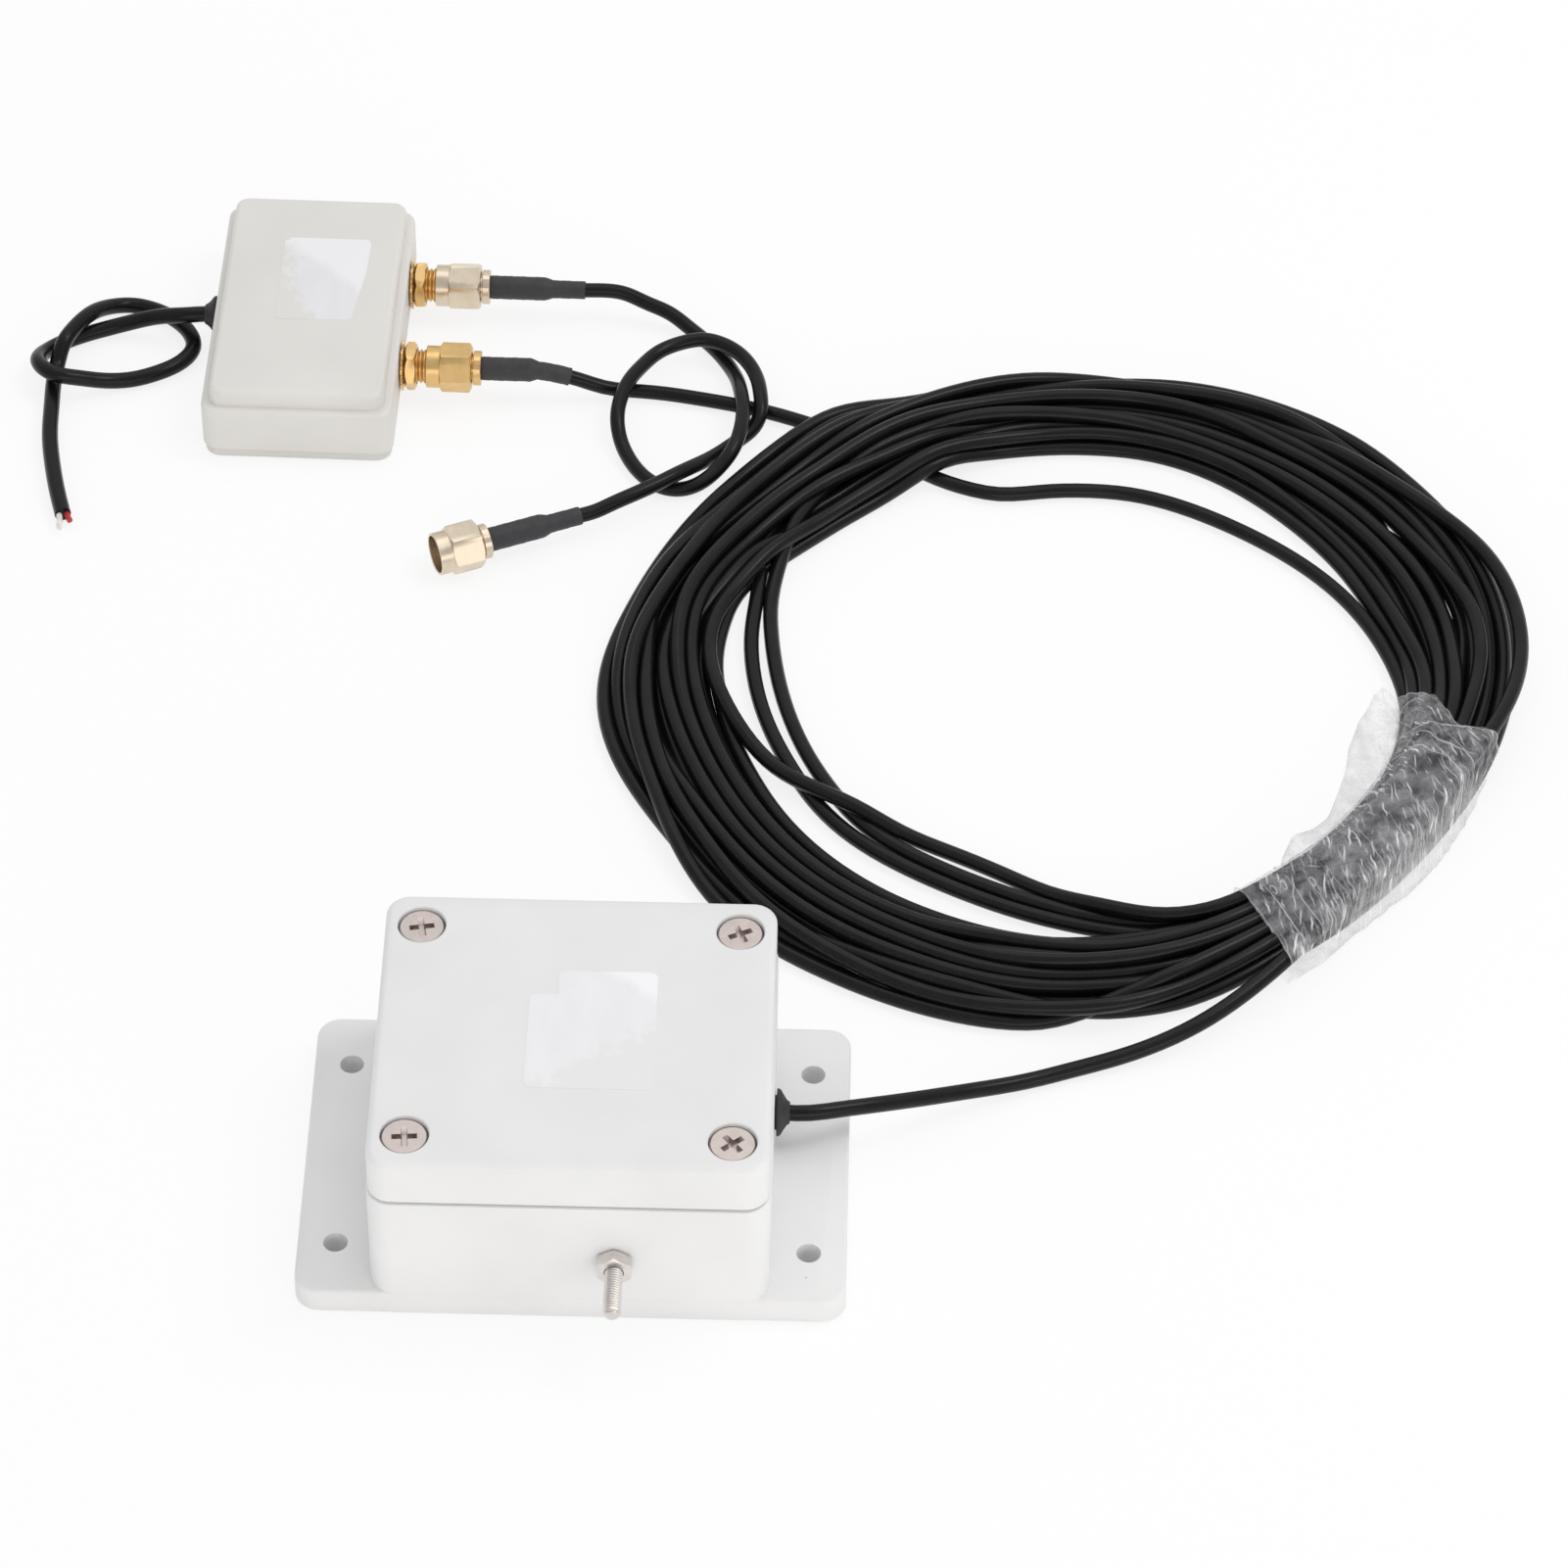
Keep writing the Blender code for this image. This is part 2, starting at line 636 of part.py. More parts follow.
transistor = prism(transistor_outline, part_low, part_low + TRANSISTOR_HEIGHT)
add("amplifier_transistor", transistor, COMPONENT, place=at(*TRANSISTOR_AT))
core = TRANSFORMER_CORE / 2
ring_middle = TRANSFORMER_DIA / 2 - core
transformer_stations = [
    (part_low + core + core * math.sin(angle), ring_middle + core * math.cos(angle))
    for angle in [2 * math.pi * i / 8 for i in range(8)]
]
transformer = turned(transformer_stations, closed=True, sides=SMALL_SIDES)
add("output_transformer", transformer, FERRITE, place=at(*TRANSFORMER_AT))

# Input lead from the lug's tail down to the board
lug_back = front_y + BOX_WALL + FIT + LUG_THICK
lead_y = lug_back + FIT + LEAD_DIA / 2
lead_top = STUD_Z + lug_reach - LEAD_DIA
lead_foot = front_y + BOX_WALL + (inner_depth - BOARD_DEPTH) / 2 + 3 * LEAD_DIA
lead_rise = STUD_HEAD / 2 + LEAD_DIA
lead_route = [
    (STUD_X + lead_rise, lead_foot, part_low + LEAD_DIA / 2),
    (STUD_X + lead_rise, lead_foot - LEAD_DIA, part_low + 3 * LEAD_DIA),
    (STUD_X + lead_rise, lead_y + LEAD_DIA, STUD_Z + LEAD_DIA),
    (STUD_X + lead_rise / 2, lead_y + LEAD_DIA / 2, STUD_Z + lead_rise + LEAD_DIA),
    (STUD_X, lead_y + LEAD_DIA / 2, lead_top),
]
tube("input_lead", spline_at(lead_route, 1.5 * LEAD_DIA), LEAD_DIA, WIRE_RED, sides=1)

# Cable grommets, turned round the cable: inner flange, neck in the wall, outer cone


def grommet(rim, wall):
    return turned(
        [
            (-wall - FIT - GROMMET_INNER, 0.8 * rim / 2),
            (-wall - FIT, rim / 2),
            (-wall - FIT, GROMMET_NECK / 2),
            (FIT, GROMMET_NECK / 2),
            (FIT, rim / 2),
            (FIT + 0.35 * GROMMET_PROUD, 0.86 * rim / 2),
            (FIT + GROMMET_PROUD, GROMMET_NOSE / 2),
        ]
    )


add("antenna_grommet", grommet(GROMMET_RIM, BOX_WALL), RUBBER, place=grommet_place)
tail_x = right_x - BOX_WALL - 2 * FIT - GROMMET_INNER
tail_z = part_low + COAX_DIA / 2
feeder_tail_route = [
    (tail_x, ANTENNA_GROMMET_Y, ANTENNA_GROMMET_Z),
    (tail_x - COAX_DIA, ANTENNA_GROMMET_Y, ANTENNA_GROMMET_Z),
    (tail_x - 2.5 * COAX_DIA, ANTENNA_GROMMET_Y, ANTENNA_GROMMET_Z + 0.2 * COAX_DIA),
    (BOARD_WIDTH / 2 - 3 * COAX_DIA, ANTENNA_GROMMET_Y + COAX_DIA, tail_z),
]
tube("feeder_tail", spline_at(feeder_tail_route, COAX_DIA), COAX_DIA, CABLE)

# Blank labels on the two boxes


def label(size):
    return prism(rounded_outline(*size, LABEL_CORNER), SKIN_GAP, SKIN_GAP + LABEL_THICK)


add("antenna_label", label(ANTENNA_LABEL), LABEL, place=at(*ANTENNA_LABEL_AT, BOX_HEIGHT))

# Injector box: a one-piece case with a stepped top, closed by a flat base with a lip
injector = frame("injector_frame", at(*INJECTOR_AT) @ Matrix.Rotation(math.radians(INJECTOR_TURN), 4, "Z"))
case_low = INJECTOR_BASE_THICK + FIT
wall_x = INJECTOR_WIDTH / 2


def case_loop(inset, z):
    width = INJECTOR_WIDTH - 2 * inset
    return level(rounded_outline(width, INJECTOR_LENGTH - 2 * inset, max(INJECTOR_CORNER - inset, 0.0005)), z)


top_inset = INJECTOR_LEDGE + INJECTOR_WALL
ceiling = INJECTOR_HEIGHT - INJECTOR_WALL
case_stations = [
    (top_inset, ceiling),
    (INJECTOR_WALL, INJECTOR_LEDGE_Z - INJECTOR_WALL),
    (INJECTOR_WALL, case_low),
    (0, case_low),
    (0, INJECTOR_LEDGE_Z - INJECTOR_EDGE / 2),
    (INJECTOR_EDGE / 2, INJECTOR_LEDGE_Z),
    (INJECTOR_LEDGE, INJECTOR_LEDGE_Z),
    (INJECTOR_LEDGE, INJECTOR_HEIGHT - INJECTOR_EDGE),
    (INJECTOR_LEDGE + INJECTOR_EDGE, INJECTOR_HEIGHT),
]
case = add("injector_case", loft([case_loop(*s) for s in case_stations]), ABS_WARM, injector)
power_place = at(-wall_x, POWER_GROMMET_Y, POWER_GROMMET_Z) @ ALONG_MINUS_X
case_holes = [moved(drill(-2 * INJECTOR_WALL, INJECTOR_WALL, grommet_hole), power_place)]
for y in JACK_YS.values():
    jack_hole = drill(-2 * INJECTOR_WALL, INJECTOR_WALL, JACK_THREAD + 2 * FIT)
    case_holes.append(moved(jack_hole, at(wall_x, y, JACK_Z) @ ALONG_X))
boolean(case, merge(*case_holes), "DIFFERENCE")
lip_inset = INJECTOR_WALL + FIT
lip_top = INJECTOR_BASE_THICK + INJECTOR_LIP
base_stations = [
    (INJECTOR_BASE_INSET + INJECTOR_EDGE / 2, 0),
    (INJECTOR_BASE_INSET, INJECTOR_EDGE / 2),
    (INJECTOR_BASE_INSET, INJECTOR_BASE_THICK),
    (lip_inset, INJECTOR_BASE_THICK),
    (lip_inset, lip_top),
    (lip_inset + INJECTOR_WALL, lip_top),
    (lip_inset + INJECTOR_WALL, INJECTOR_BASE_THICK),
]
add("injector_base", loft([case_loop(*s) for s in base_stations]), ABS_WARM, injector)
injector_board_top = INJECTOR_BOARD_Z + BOARD_THICK
injector_outline = rounded_outline(INJECTOR_BOARD_WIDTH, INJECTOR_BOARD_LENGTH, BODY_CORNER / 4)
add(
    "injector_board",
    prism(injector_outline, INJECTOR_BOARD_Z, injector_board_top),
    BOARD_GREEN,
    injector,
    at(-(wall_x - INJECTOR_WALL - INJECTOR_BOARD_WIDTH / 2 - 4 * FIT - GROMMET_INNER), 0),
)
choke_low = injector_board_top + FIT
choke_stations = [
    (choke_low, CHOKE_DIA / 2),
    (choke_low + 0.2 * CHOKE_HEIGHT, CHOKE_DIA / 2),
    (choke_low + 0.25 * CHOKE_HEIGHT, CHOKE_WAIST / 2),
    (choke_low + 0.75 * CHOKE_HEIGHT, CHOKE_WAIST / 2),
    (choke_low + 0.8 * CHOKE_HEIGHT, CHOKE_DIA / 2),
    (choke_low + CHOKE_HEIGHT, CHOKE_DIA / 2),
]
add("feed_choke", turned(choke_stations, sides=SMALL_SIDES), FERRITE, injector, at(*CHOKE_AT))
capacitor_place = at(*CAPACITOR_AT, choke_low + CAPACITOR_DIA / 2) @ ALONG_X
capacitor = drill(-CAPACITOR_LENGTH / 2, CAPACITOR_LENGTH / 2, CAPACITOR_DIA, SMALL_SIDES)
add("supply_capacitor", capacitor, COMPONENT, injector, capacitor_place)
power_grommet = grommet(POWER_GROMMET_RIM, INJECTOR_WALL)
add("power_grommet", power_grommet, RUBBER, injector, power_place)
injector_label_place = at(*INJECTOR_LABEL_AT, INJECTOR_HEIGHT)
add("injector_label", label(INJECTOR_LABEL), LABEL, injector, injector_label_place)

# Coaxial jacks in the injector's wall: body, insulator and contact, lock washer and nut
jack_front = PLUG_FROM_WALL + PLUG_FACE - FIT
flange_at = -INJECTOR_WALL - FIT
nut_at = 2 * FIT + WASHER_THICK
jack_nut_turns = {"upper": 22.0, "lower": 4.0}
thread = JACK_THREAD / 2
for where, y in JACK_YS.items():
    place = at(wall_x, y, JACK_Z) @ ALONG_X
    bore_floor = jack_front - JACK_BORE_DEEP
    jack_stations = [
        (bore_floor, JACK_BORE / 2),
        (jack_front, JACK_BORE / 2),
        (jack_front, thread - 0.6 * CHAMFER),
        (jack_front - CHAMFER, thread),
        (flange_at, thread),
        (flange_at, JACK_FLANGE / 2),
        (flange_at - JACK_FLANGE_THICK, JACK_FLANGE / 2),
    ]
    add(f"jack_{where}", turned(jack_stations, sides=SMALL_SIDES), GOLD, injector, place)
    insulator_stations = [
        (bore_floor + FIT, JACK_CONTACT / 2 + FIT),
        (bore_floor + FIT, JACK_INSULATOR / 2),
        (jack_front - FIT, JACK_INSULATOR / 2),
        (jack_front - FIT, JACK_CONTACT / 2 + FIT),
    ]
    add(f"jack_insulator_{where}", turned(insulator_stations, True, SMALL_SIDES), PTFE, injector, place)
    contact_stations = [
        (jack_front - 3 * JACK_CONTACT_HOLE, JACK_CONTACT_HOLE / 2),
        (jack_front - FIT, JACK_CONTACT_HOLE / 2),
        (jack_front - FIT, JACK_CONTACT / 2),
        (bore_floor + FIT, JACK_CONTACT / 2),
    ]
    add(f"jack_contact_{where}", turned(contact_stations, sides=SMALL_SIDES), GOLD, injector, place)
    washer_stations = [
        (FIT, thread + FIT),
        (FIT, WASHER_DIA / 2),
        (FIT + WASHER_THICK, WASHER_DIA / 2),
        (FIT + WASHER_THICK, thread + FIT),
    ]
    add(f"jack_washer_{where}", turned(washer_stations, True, SMALL_SIDES), GOLD, injector, place)
    turn = Matrix.Rotation(math.radians(jack_nut_turns[where]), 4, "Z")
    jack_nut = nut_ring(JACK_NUT_ACROSS, nut_at, nut_at + JACK_NUT_THICK, thread + FIT, CHAMFER)
    add(f"jack_nut_{where}", jack_nut, GOLD, injector, place @ turn)

# Coaxial plugs: coupling nut on its axis, body, insulator and pin
plug_back = PLUG_NUT_LONG + FIT
plug_end = plug_back + PLUG_COLLAR_LONG


def plug(where, finish, parent, place, turn):
    flat = PLUG_NUT_ACROSS / 2
    ring = PLUG_RING / 2
    neck_hole = PLUG_NECK / 2 + FIT
    nut_bore = PLUG_NUT_BORE / 2
    back = PLUG_NUT_LONG - PLUG_NUT_BACK
    nut_stations = [
        (0, nut_bore),
        (0, ring),
        (PLUG_RING_LONG, ring),
        (PLUG_RING_LONG + 0.2 * CHAMFER, flat),
        (PLUG_RING_LONG + 1.2 * CHAMFER, flat, True),
        (PLUG_NUT_LONG - CHAMFER, flat, True),
        (PLUG_NUT_LONG, flat),
        (PLUG_NUT_LONG, neck_hole),
        (back, neck_hole),
        (back, nut_bore),
    ]
    spin = Matrix.Rotation(math.radians(turn), 4, "Z")
    add(f"plug_nut_{where}", turned(nut_stations, closed=True), finish, parent, place @ spin)
    body_stations = [
        (PLUG_FACE + PLUG_BORE_DEEP, PLUG_BORE / 2),
        (PLUG_FACE, PLUG_BORE / 2),
        (PLUG_FACE, PLUG_SHOULDER / 2),
        (back - FIT, PLUG_SHOULDER / 2),
        (back - FIT, PLUG_NECK / 2),
        (plug_back, PLUG_NECK / 2),
        (plug_back, PLUG_COLLAR / 2),
        (plug_end, PLUG_COLLAR / 2),
    ]
    add(f"plug_body_{where}", turned(body_stations, sides=SMALL_SIDES), finish, parent, place)
    insulator_low = PLUG_FACE + FIT
    insulator_high = PLUG_FACE + PLUG_BORE_DEEP - FIT
    insulator_stations = [
        (insulator_low, PLUG_PIN / 2 + FIT),
        (insulator_low, PLUG_INSULATOR / 2),
        (insulator_high, PLUG_INSULATOR / 2),
        (insulator_high, PLUG_PIN / 2 + FIT),
    ]
    add(f"plug_insulator_{where}", turned(insulator_stations, True, SMALL_SIDES), PTFE, parent, place)
    pin = PLUG_PIN / 2
    tip = PLUG_FACE - PLUG_PIN_OUT
    pin_stations = [(tip, 0.4 * pin), (tip + pin, pin), (insulator_high, pin)]
    add(f"plug_pin_{where}", turned(pin_stations, sides=SMALL_SIDES), GOLD, parent, place)


def sleeve(where, parent, route):
    """Heat-shrink along a route: thick over the crimp, then stepping down to the cable."""
    points = spline_at(route, SLEEVE_LONG / 16)
    along = np.concatenate([[0.0], np.cumsum(np.linalg.norm(np.diff(points, axis=0), axis=1))])
    stops = [0.0, SLEEVE_THICK_LONG, SLEEVE_THICK_LONG + SLEEVE_STEP, along[-1]]
    thin = SLEEVE_THIN_DIA / SLEEVE_DIA
    radii = np.interp(along, stops, [1.0, 1.0, thin, thin])
    tube(f"plug_sleeve_{where}", points, SLEEVE_DIA, SHRINK, radii=radii, parent=parent)


plug_x = wall_x + PLUG_FROM_WALL
plug_turns = {"upper": 15.0, "lower": 45.0}
plug_finishes = {"upper": PALE_GOLD, "lower": GOLD}
sleeve_drops = {"upper": 0.0, "lower": 0.0018}  # how far the lower sleeve bends down
for where, y in JACK_YS.items():
    plug_place = at(plug_x, y, JACK_Z) @ ALONG_X
    plug(where, plug_finishes[where], injector, plug_place, plug_turns[where])
    sleeve_x = plug_x + plug_end + FIT
    bend_x = sleeve_x + SLEEVE_THICK_LONG - SLEEVE_STEP
    drop = sleeve_drops[where]
    sleeve_route = [
        (sleeve_x, y, JACK_Z),
        (sleeve_x + SLEEVE_THICK_LONG / 2, y, JACK_Z),
        (bend_x, y, JACK_Z - 0.02 * drop),
        (sleeve_x + SLEEVE_LONG, y, JACK_Z - drop),
    ]
    sleeve(where, injector, sleeve_route)
free_matrix = at(*FREE_PLUG_AT, FREE_PLUG_Z) @ Matrix.Rotation(math.radians(FREE_PLUG_TURN), 4, "Z")
free_frame = frame("free_plug_frame", free_matrix)
plug("free", PALE_GOLD, free_frame, ALONG_X, 0.0)
free_sleeve_x = plug_end + FIT
free_sleeve_route = [
    (free_sleeve_x, 0, 0),
    (free_sleeve_x + SLEEVE_LONG / 2, 0, 0),
    (free_sleeve_x + SLEEVE_LONG, 0, 0),
]
sleeve("free", free_frame, free_sleeve_route)
bpy.context.view_layer.update()


# Free cords: each route is chosen by eye, and starts and ends straight at what it meets
def out_of(holder, point, direction, reach):
    """Two points that leave a face squarely, the first one fit away from it."""
    matrix = holder.matrix_world
    start = matrix @ Vector(point)
    heading = (matrix.to_3x3() @ Vector(direction)).normalized()
    return [tuple(start + heading * FIT), tuple(start + heading * reach)]


sleeve_end = plug_x + plug_end + FIT + SLEEVE_LONG
patch_start = out_of(injector, (sleeve_end, JACK_YS["upper"], JACK_Z), (1, 0, 0), 0.0035)
patch_end = out_of(free_frame, (free_sleeve_x + SLEEVE_LONG, 0, 0), (1, 0, 0), 0.0035)
patch_knot = [
    (-0.0007, 0.2142, 0.0062),
    (0.0035, 0.2132, 0.0050),
    (0.0077, 0.2116, 0.0034),
    (0.0113, 0.2094, 0.0020),
    (0.0145, 0.2063, 0.0015),
    (0.0176, 0.2021, 0.0015),
    (0.0202, 0.1965, 0.0022),
    (0.0217, 0.1889, 0.0045),
    (0.0223, 0.1831, 0.0052),
    (0.0219, 0.1773, 0.0052),
    (0.0204, 0.1724, 0.0044),
    (0.0181, 0.1694, 0.0030),
    (0.0150, 0.1666, 0.0020),
    (0.0115, 0.1653, 0.0015),
    (0.0077, 0.1660, 0.0014),
    (0.0044, 0.1688, 0.0014),
    (0.0014, 0.1738, 0.0015),
    (-0.0003, 0.1784, 0.0024),
    (-0.0008, 0.1817, 0.0038),
    (-0.0003, 0.1863, 0.0047),
    (0.0010, 0.1907, 0.0049),
    (0.0034, 0.1955, 0.0046),
    (0.0065, 0.1996, 0.0045),
    (0.0106, 0.2019, 0.0047),
    (0.0144, 0.2026, 0.0049),
    (0.0185, 0.2012, 0.0049),
    (0.0221, 0.1978, 0.0048),
    (0.0245, 0.1928, 0.0047),
    (0.0254, 0.1876, 0.0047),
    (0.0255, 0.1843, 0.0038),
    (0.0244, 0.1816, 0.0024),
    (0.0219, 0.1791, 0.0016),
    (0.0187, 0.1758, 0.0015),
    (0.0151, 0.1710, 0.0030),
    (0.0112, 0.1663, 0.0047),
    (0.0074, 0.1630, 0.0050),
    (0.0035, 0.1603, 0.0049),
    (-0.0009, 0.1577, 0.0045),
]
patch_route = [*patch_start, *patch_knot, *reversed(patch_end)]
tube("patch_cable", spline_at(patch_route, KNOT_STEP), COAX_DIA, CABLE)

power_start = out_of(
    injector, (-wall_x - FIT - GROMMET_PROUD, POWER_GROMMET_Y, POWER_GROMMET_Z), (-1, 0, 0), 0.0030
)
power_knot = [
    (-0.0821, 0.2049, 0.0062),
    (-0.0869, 0.2055, 0.0052),
    (-0.0918, 0.2060, 0.0034),
    (-0.0969, 0.2056, 0.0019),
    (-0.1015, 0.2038, 0.0016),
    (-0.1052, 0.2015, 0.0016),
    (-0.1079, 0.1978, 0.0026),
    (-0.1084, 0.1924, 0.0048),
    (-0.1054, 0.1888, 0.0054),
    (-0.1009, 0.1890, 0.0042),
    (-0.0965, 0.1904, 0.0024),
    (-0.0916, 0.1917, 0.0016),
    (-0.0868, 0.1937, 0.0016),
    (-0.0827, 0.1968, 0.0016),
    (-0.0807, 0.2010, 0.0016),
    (-0.0817, 0.2050, 0.0016),
    (-0.0845, 0.2085, 0.0016),
    (-0.0887, 0.2113, 0.0016),
    (-0.0932, 0.2125, 0.0016),
    (-0.0973, 0.2104, 0.0029),
    (-0.1006, 0.2056, 0.0049),
    (-0.1029, 0.2010, 0.0054),
    (-0.1044, 0.1974, 0.0049),
    (-0.1052, 0.1953, 0.0029),
    (-0.1056, 0.1917, 0.0019),
    (-0.1054, 0.1842, 0.0017),
    (-0.1050, 0.1769, 0.0016),
    (-0.1037, 0.1685, 0.0016),
    (-0.1020, 0.1608, 0.0016),
    (-0.1004, 0.1549, 0.0016),
]
power_points = spline_at([*power_start, *power_knot], KNOT_STEP)
tube("power_cable", power_points, POWER_DIA, CABLE)
cut_end = Vector(power_points[-1])
cut_heading = (cut_end - Vector(power_points[-2])).normalized()
across = cut_heading.cross(Vector((0, 0, 1)))
for colour, side in (("white", 1), ("red", -1)):
    start = cut_end + across * side * (WIRE_DIA / 2 + FIT) + cut_heading * FIT
    finish = WIRE_WHITE if colour == "white" else WIRE_RED
    wire_points = [start + cut_heading * WIRE_OUT * i / 3 for i in range(4)]
    tube(f"power_wire_{colour}", wire_points, WIRE_DIA, finish, sides=1)


# Feeder coil: loops that spiral out and in again, climbing a layer where the spiral reverses
def ramp(value):
    value = min(max(value, 0.0), 1.0)
    return value * value * (3 - 2 * value)


def wrapped(angle):
    """The angle in degrees, between -180 and 180."""
    return (angle + 180.0) % 360.0 - 180.0


def film_hold(angle):
    """1 where the film holds the loops together, falling to 0 away from it."""
    middle = (FILM_FROM + FILM_TO) / 2
    past = abs(wrapped(angle - middle)) - (FILM_TO - FILM_FROM) / 2
    return 1.0 - ramp(past / FILM_FADE)


def underpass(angle):
    past = abs(wrapped(angle - UNDERPASS_AT)) - UNDERPASS_HALF
    return 1.0 - ramp(past / UNDERPASS_RAMP)


def coil_layer(turns):
    """How far out the loop lies, from 0 to 1, and which layer it is on, this many turns in."""
    for layer in range(COIL_LAYERS):
        if turns <= COIL_LAYER_TURNS or layer == COIL_LAYERS - 1:
            out = min(turns / COIL_LAYER_TURNS, 1.0)
            return (out if layer % 2 == 0 else 1.0 - out), layer
        turns -= COIL_LAYER_TURNS
        if turns <= 0.5:
            bulge = COIL_CLIMB_BULGE * math.sin(2 * math.pi * turns)
            return (1.0 + bulge if layer % 2 == 0 else -bulge), layer + 2 * turns
        turns -= 0.5
    return None


coil_turns = COIL_LAYERS * COIL_LAYER_TURNS + (COIL_LAYERS - 1) * 0.5


def coil_point(turns):
    angle = COIL_START - 360.0 * turns
    hold = film_hold(angle)
    out, layer = coil_layer(turns)
    width = COIL_LAYER_TURNS * (hold * COIL_PITCH + (1 - hold) * COIL_FAN_PITCH)
    radius = COIL_MID_RADIUS + COIL_FAN_SHIFT * (1 - hold) + (out - 0.5) * width
    radius -= COIL_END_IN * ramp(1.0 - 8.0 * turns)
    radius -= COIL_DENT * (1 - ramp(abs(wrapped(angle - COIL_DENT_AT)) / COIL_DENT_HALF))
    height = COAX_DIA / 2 + COIL_FILM_LIFT * hold + UNDERPASS_LIFT * underpass(angle)
    x = COIL_AT[0] + radius * math.cos(math.radians(angle))
    y = COIL_AT[1] + radius * math.sin(math.radians(angle))
    return (x, y, height + layer * COIL_LAYER_STEP)


def least_gap(points, diameter, skip):
    """The least gap between a tube and itself, past this many neighbouring points."""
    least = math.inf
    for i in range(len(points) - skip):
        least = min(least, np.linalg.norm(points[i + skip :] - points[i], axis=1).min())
    return least - diameter


coil_steps = round(coil_turns * COIL_LOOP_POINTS)
coil_points = np.array([coil_point(coil_turns * i / coil_steps) for i in range(coil_steps + 1)])
tube("feeder_coil", coil_points, COAX_DIA, CABLE, sides=1)
coil_gap = least_gap(coil_points, COAX_DIA, COIL_LOOP_POINTS // 2)
print(f"feeder coil: {coil_turns:.2f} loops, least gap to itself {1000 * coil_gap:.2f} mm")

# Feeder runs: from the injector's lower plug under the coil to its inner end, and from
# its upper outer end, at the film's lower edge, to the antenna box


def off_coil(end, inner, reach):
    heading = coil_points[end] - coil_points[inner]
    heading /= np.linalg.norm(heading)
    return [tuple(coil_points[end] + heading * FIT), tuple(coil_points[end] + heading * reach)]


lower_end = (sleeve_end, JACK_YS["lower"], JACK_Z - sleeve_drops["lower"])
lower_slope = -1.6 * sleeve_drops["lower"] / (SLEEVE_LONG - SLEEVE_THICK_LONG)
injector_start = out_of(injector, lower_end, (1, 0, lower_slope), 0.0030)
injector_middle = [
    (-0.0026, 0.1914, 0.0023),
    (0.0012, 0.1917, 0.0016),
    (0.0060, 0.1915, 0.0014),
    (0.0125, 0.1904, 0.0014),
    (0.0217, 0.1883, 0.0014),
    (0.0268, 0.1868, 0.0014),
    (0.0340, 0.1840, 0.0014),
    (0.0430, 0.1800, 0.0014),
    (0.0515, 0.1752, 0.0014),
    (0.0600, 0.1706, 0.0014),
    (0.0710, 0.1678, 0.0014),
    (0.0840, 0.1671, 0.0014),
    (0.0970, 0.1656, 0.0014),
    (0.1105, 0.1606, 0.0014),
    (0.1215, 0.1530, 0.0014),
    (0.1300, 0.1432, 0.0014),
    (0.1366, 0.1308, 0.0015),
    (0.1415, 0.1195, 0.0018),
]
injector_route = [*injector_start, *injector_middle, *reversed(off_coil(0, 1, 0.0030))]
tube("feeder_run_injector", spline_at(injector_route, CORD_STEP), COAX_DIA, CABLE)

grommet_face = (right_x + FIT + GROMMET_PROUD, ANTENNA_GROMMET_Y, ANTENNA_GROMMET_Z)
antenna_end = out_of(base, grommet_face, (1, 0, 0), 0.0030)
antenna_middle = [
    (0.1135, 0.0427, 0.0083),
    (0.1086, 0.0381, 0.0070),
    (0.1031, 0.0341, 0.0050),
    (0.0965, 0.0306, 0.0032),
    (0.0895, 0.0277, 0.0020),
    (0.0820, 0.0250, 0.0015),
    (0.0740, 0.0220, 0.0016),
    (0.0650, 0.0182, 0.0032),
    (0.0560, 0.0134, 0.0062),
    (0.0480, 0.0092, 0.0090),
    (0.0420, 0.0067, 0.0104),
]
antenna_route = [*off_coil(-1, -2, 0.0030), *antenna_middle, *reversed(antenna_end)]
tube("feeder_run_antenna", spline_at(antenna_route, CORD_STEP), COAX_DIA, CABLE)

# Stretch film: a thin sleeve round the bundle, open at both ends


def film_ring(angle, inset):
    outline = rounded_outline(FILM_WIDTH - 2 * inset, FILM_HEIGHT - 2 * inset, FILM_CORNER - inset, 3)
    points = []
    for out, up in outline:
        radius = FILM_MID_RADIUS + out
        x = COIL_AT[0] + radius * math.cos(angle)
        y = COIL_AT[1] + radius * math.sin(angle)
        points.append((x, y, FILM_HEIGHT / 2 + up))
    return points


film_steps = 8
film_angles = np.radians(np.linspace(FILM_FROM, FILM_TO, film_steps + 1))
film_loops = [film_ring(angle, 0) for angle in film_angles]
film_loops += [film_ring(angle, FILM_WALL) for angle in reversed(film_angles)]
add("coil_film", loft(film_loops, closed=True), FILM)
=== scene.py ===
import math

import bmesh
import bpy
import numpy as np
from mathutils import Matrix, Vector


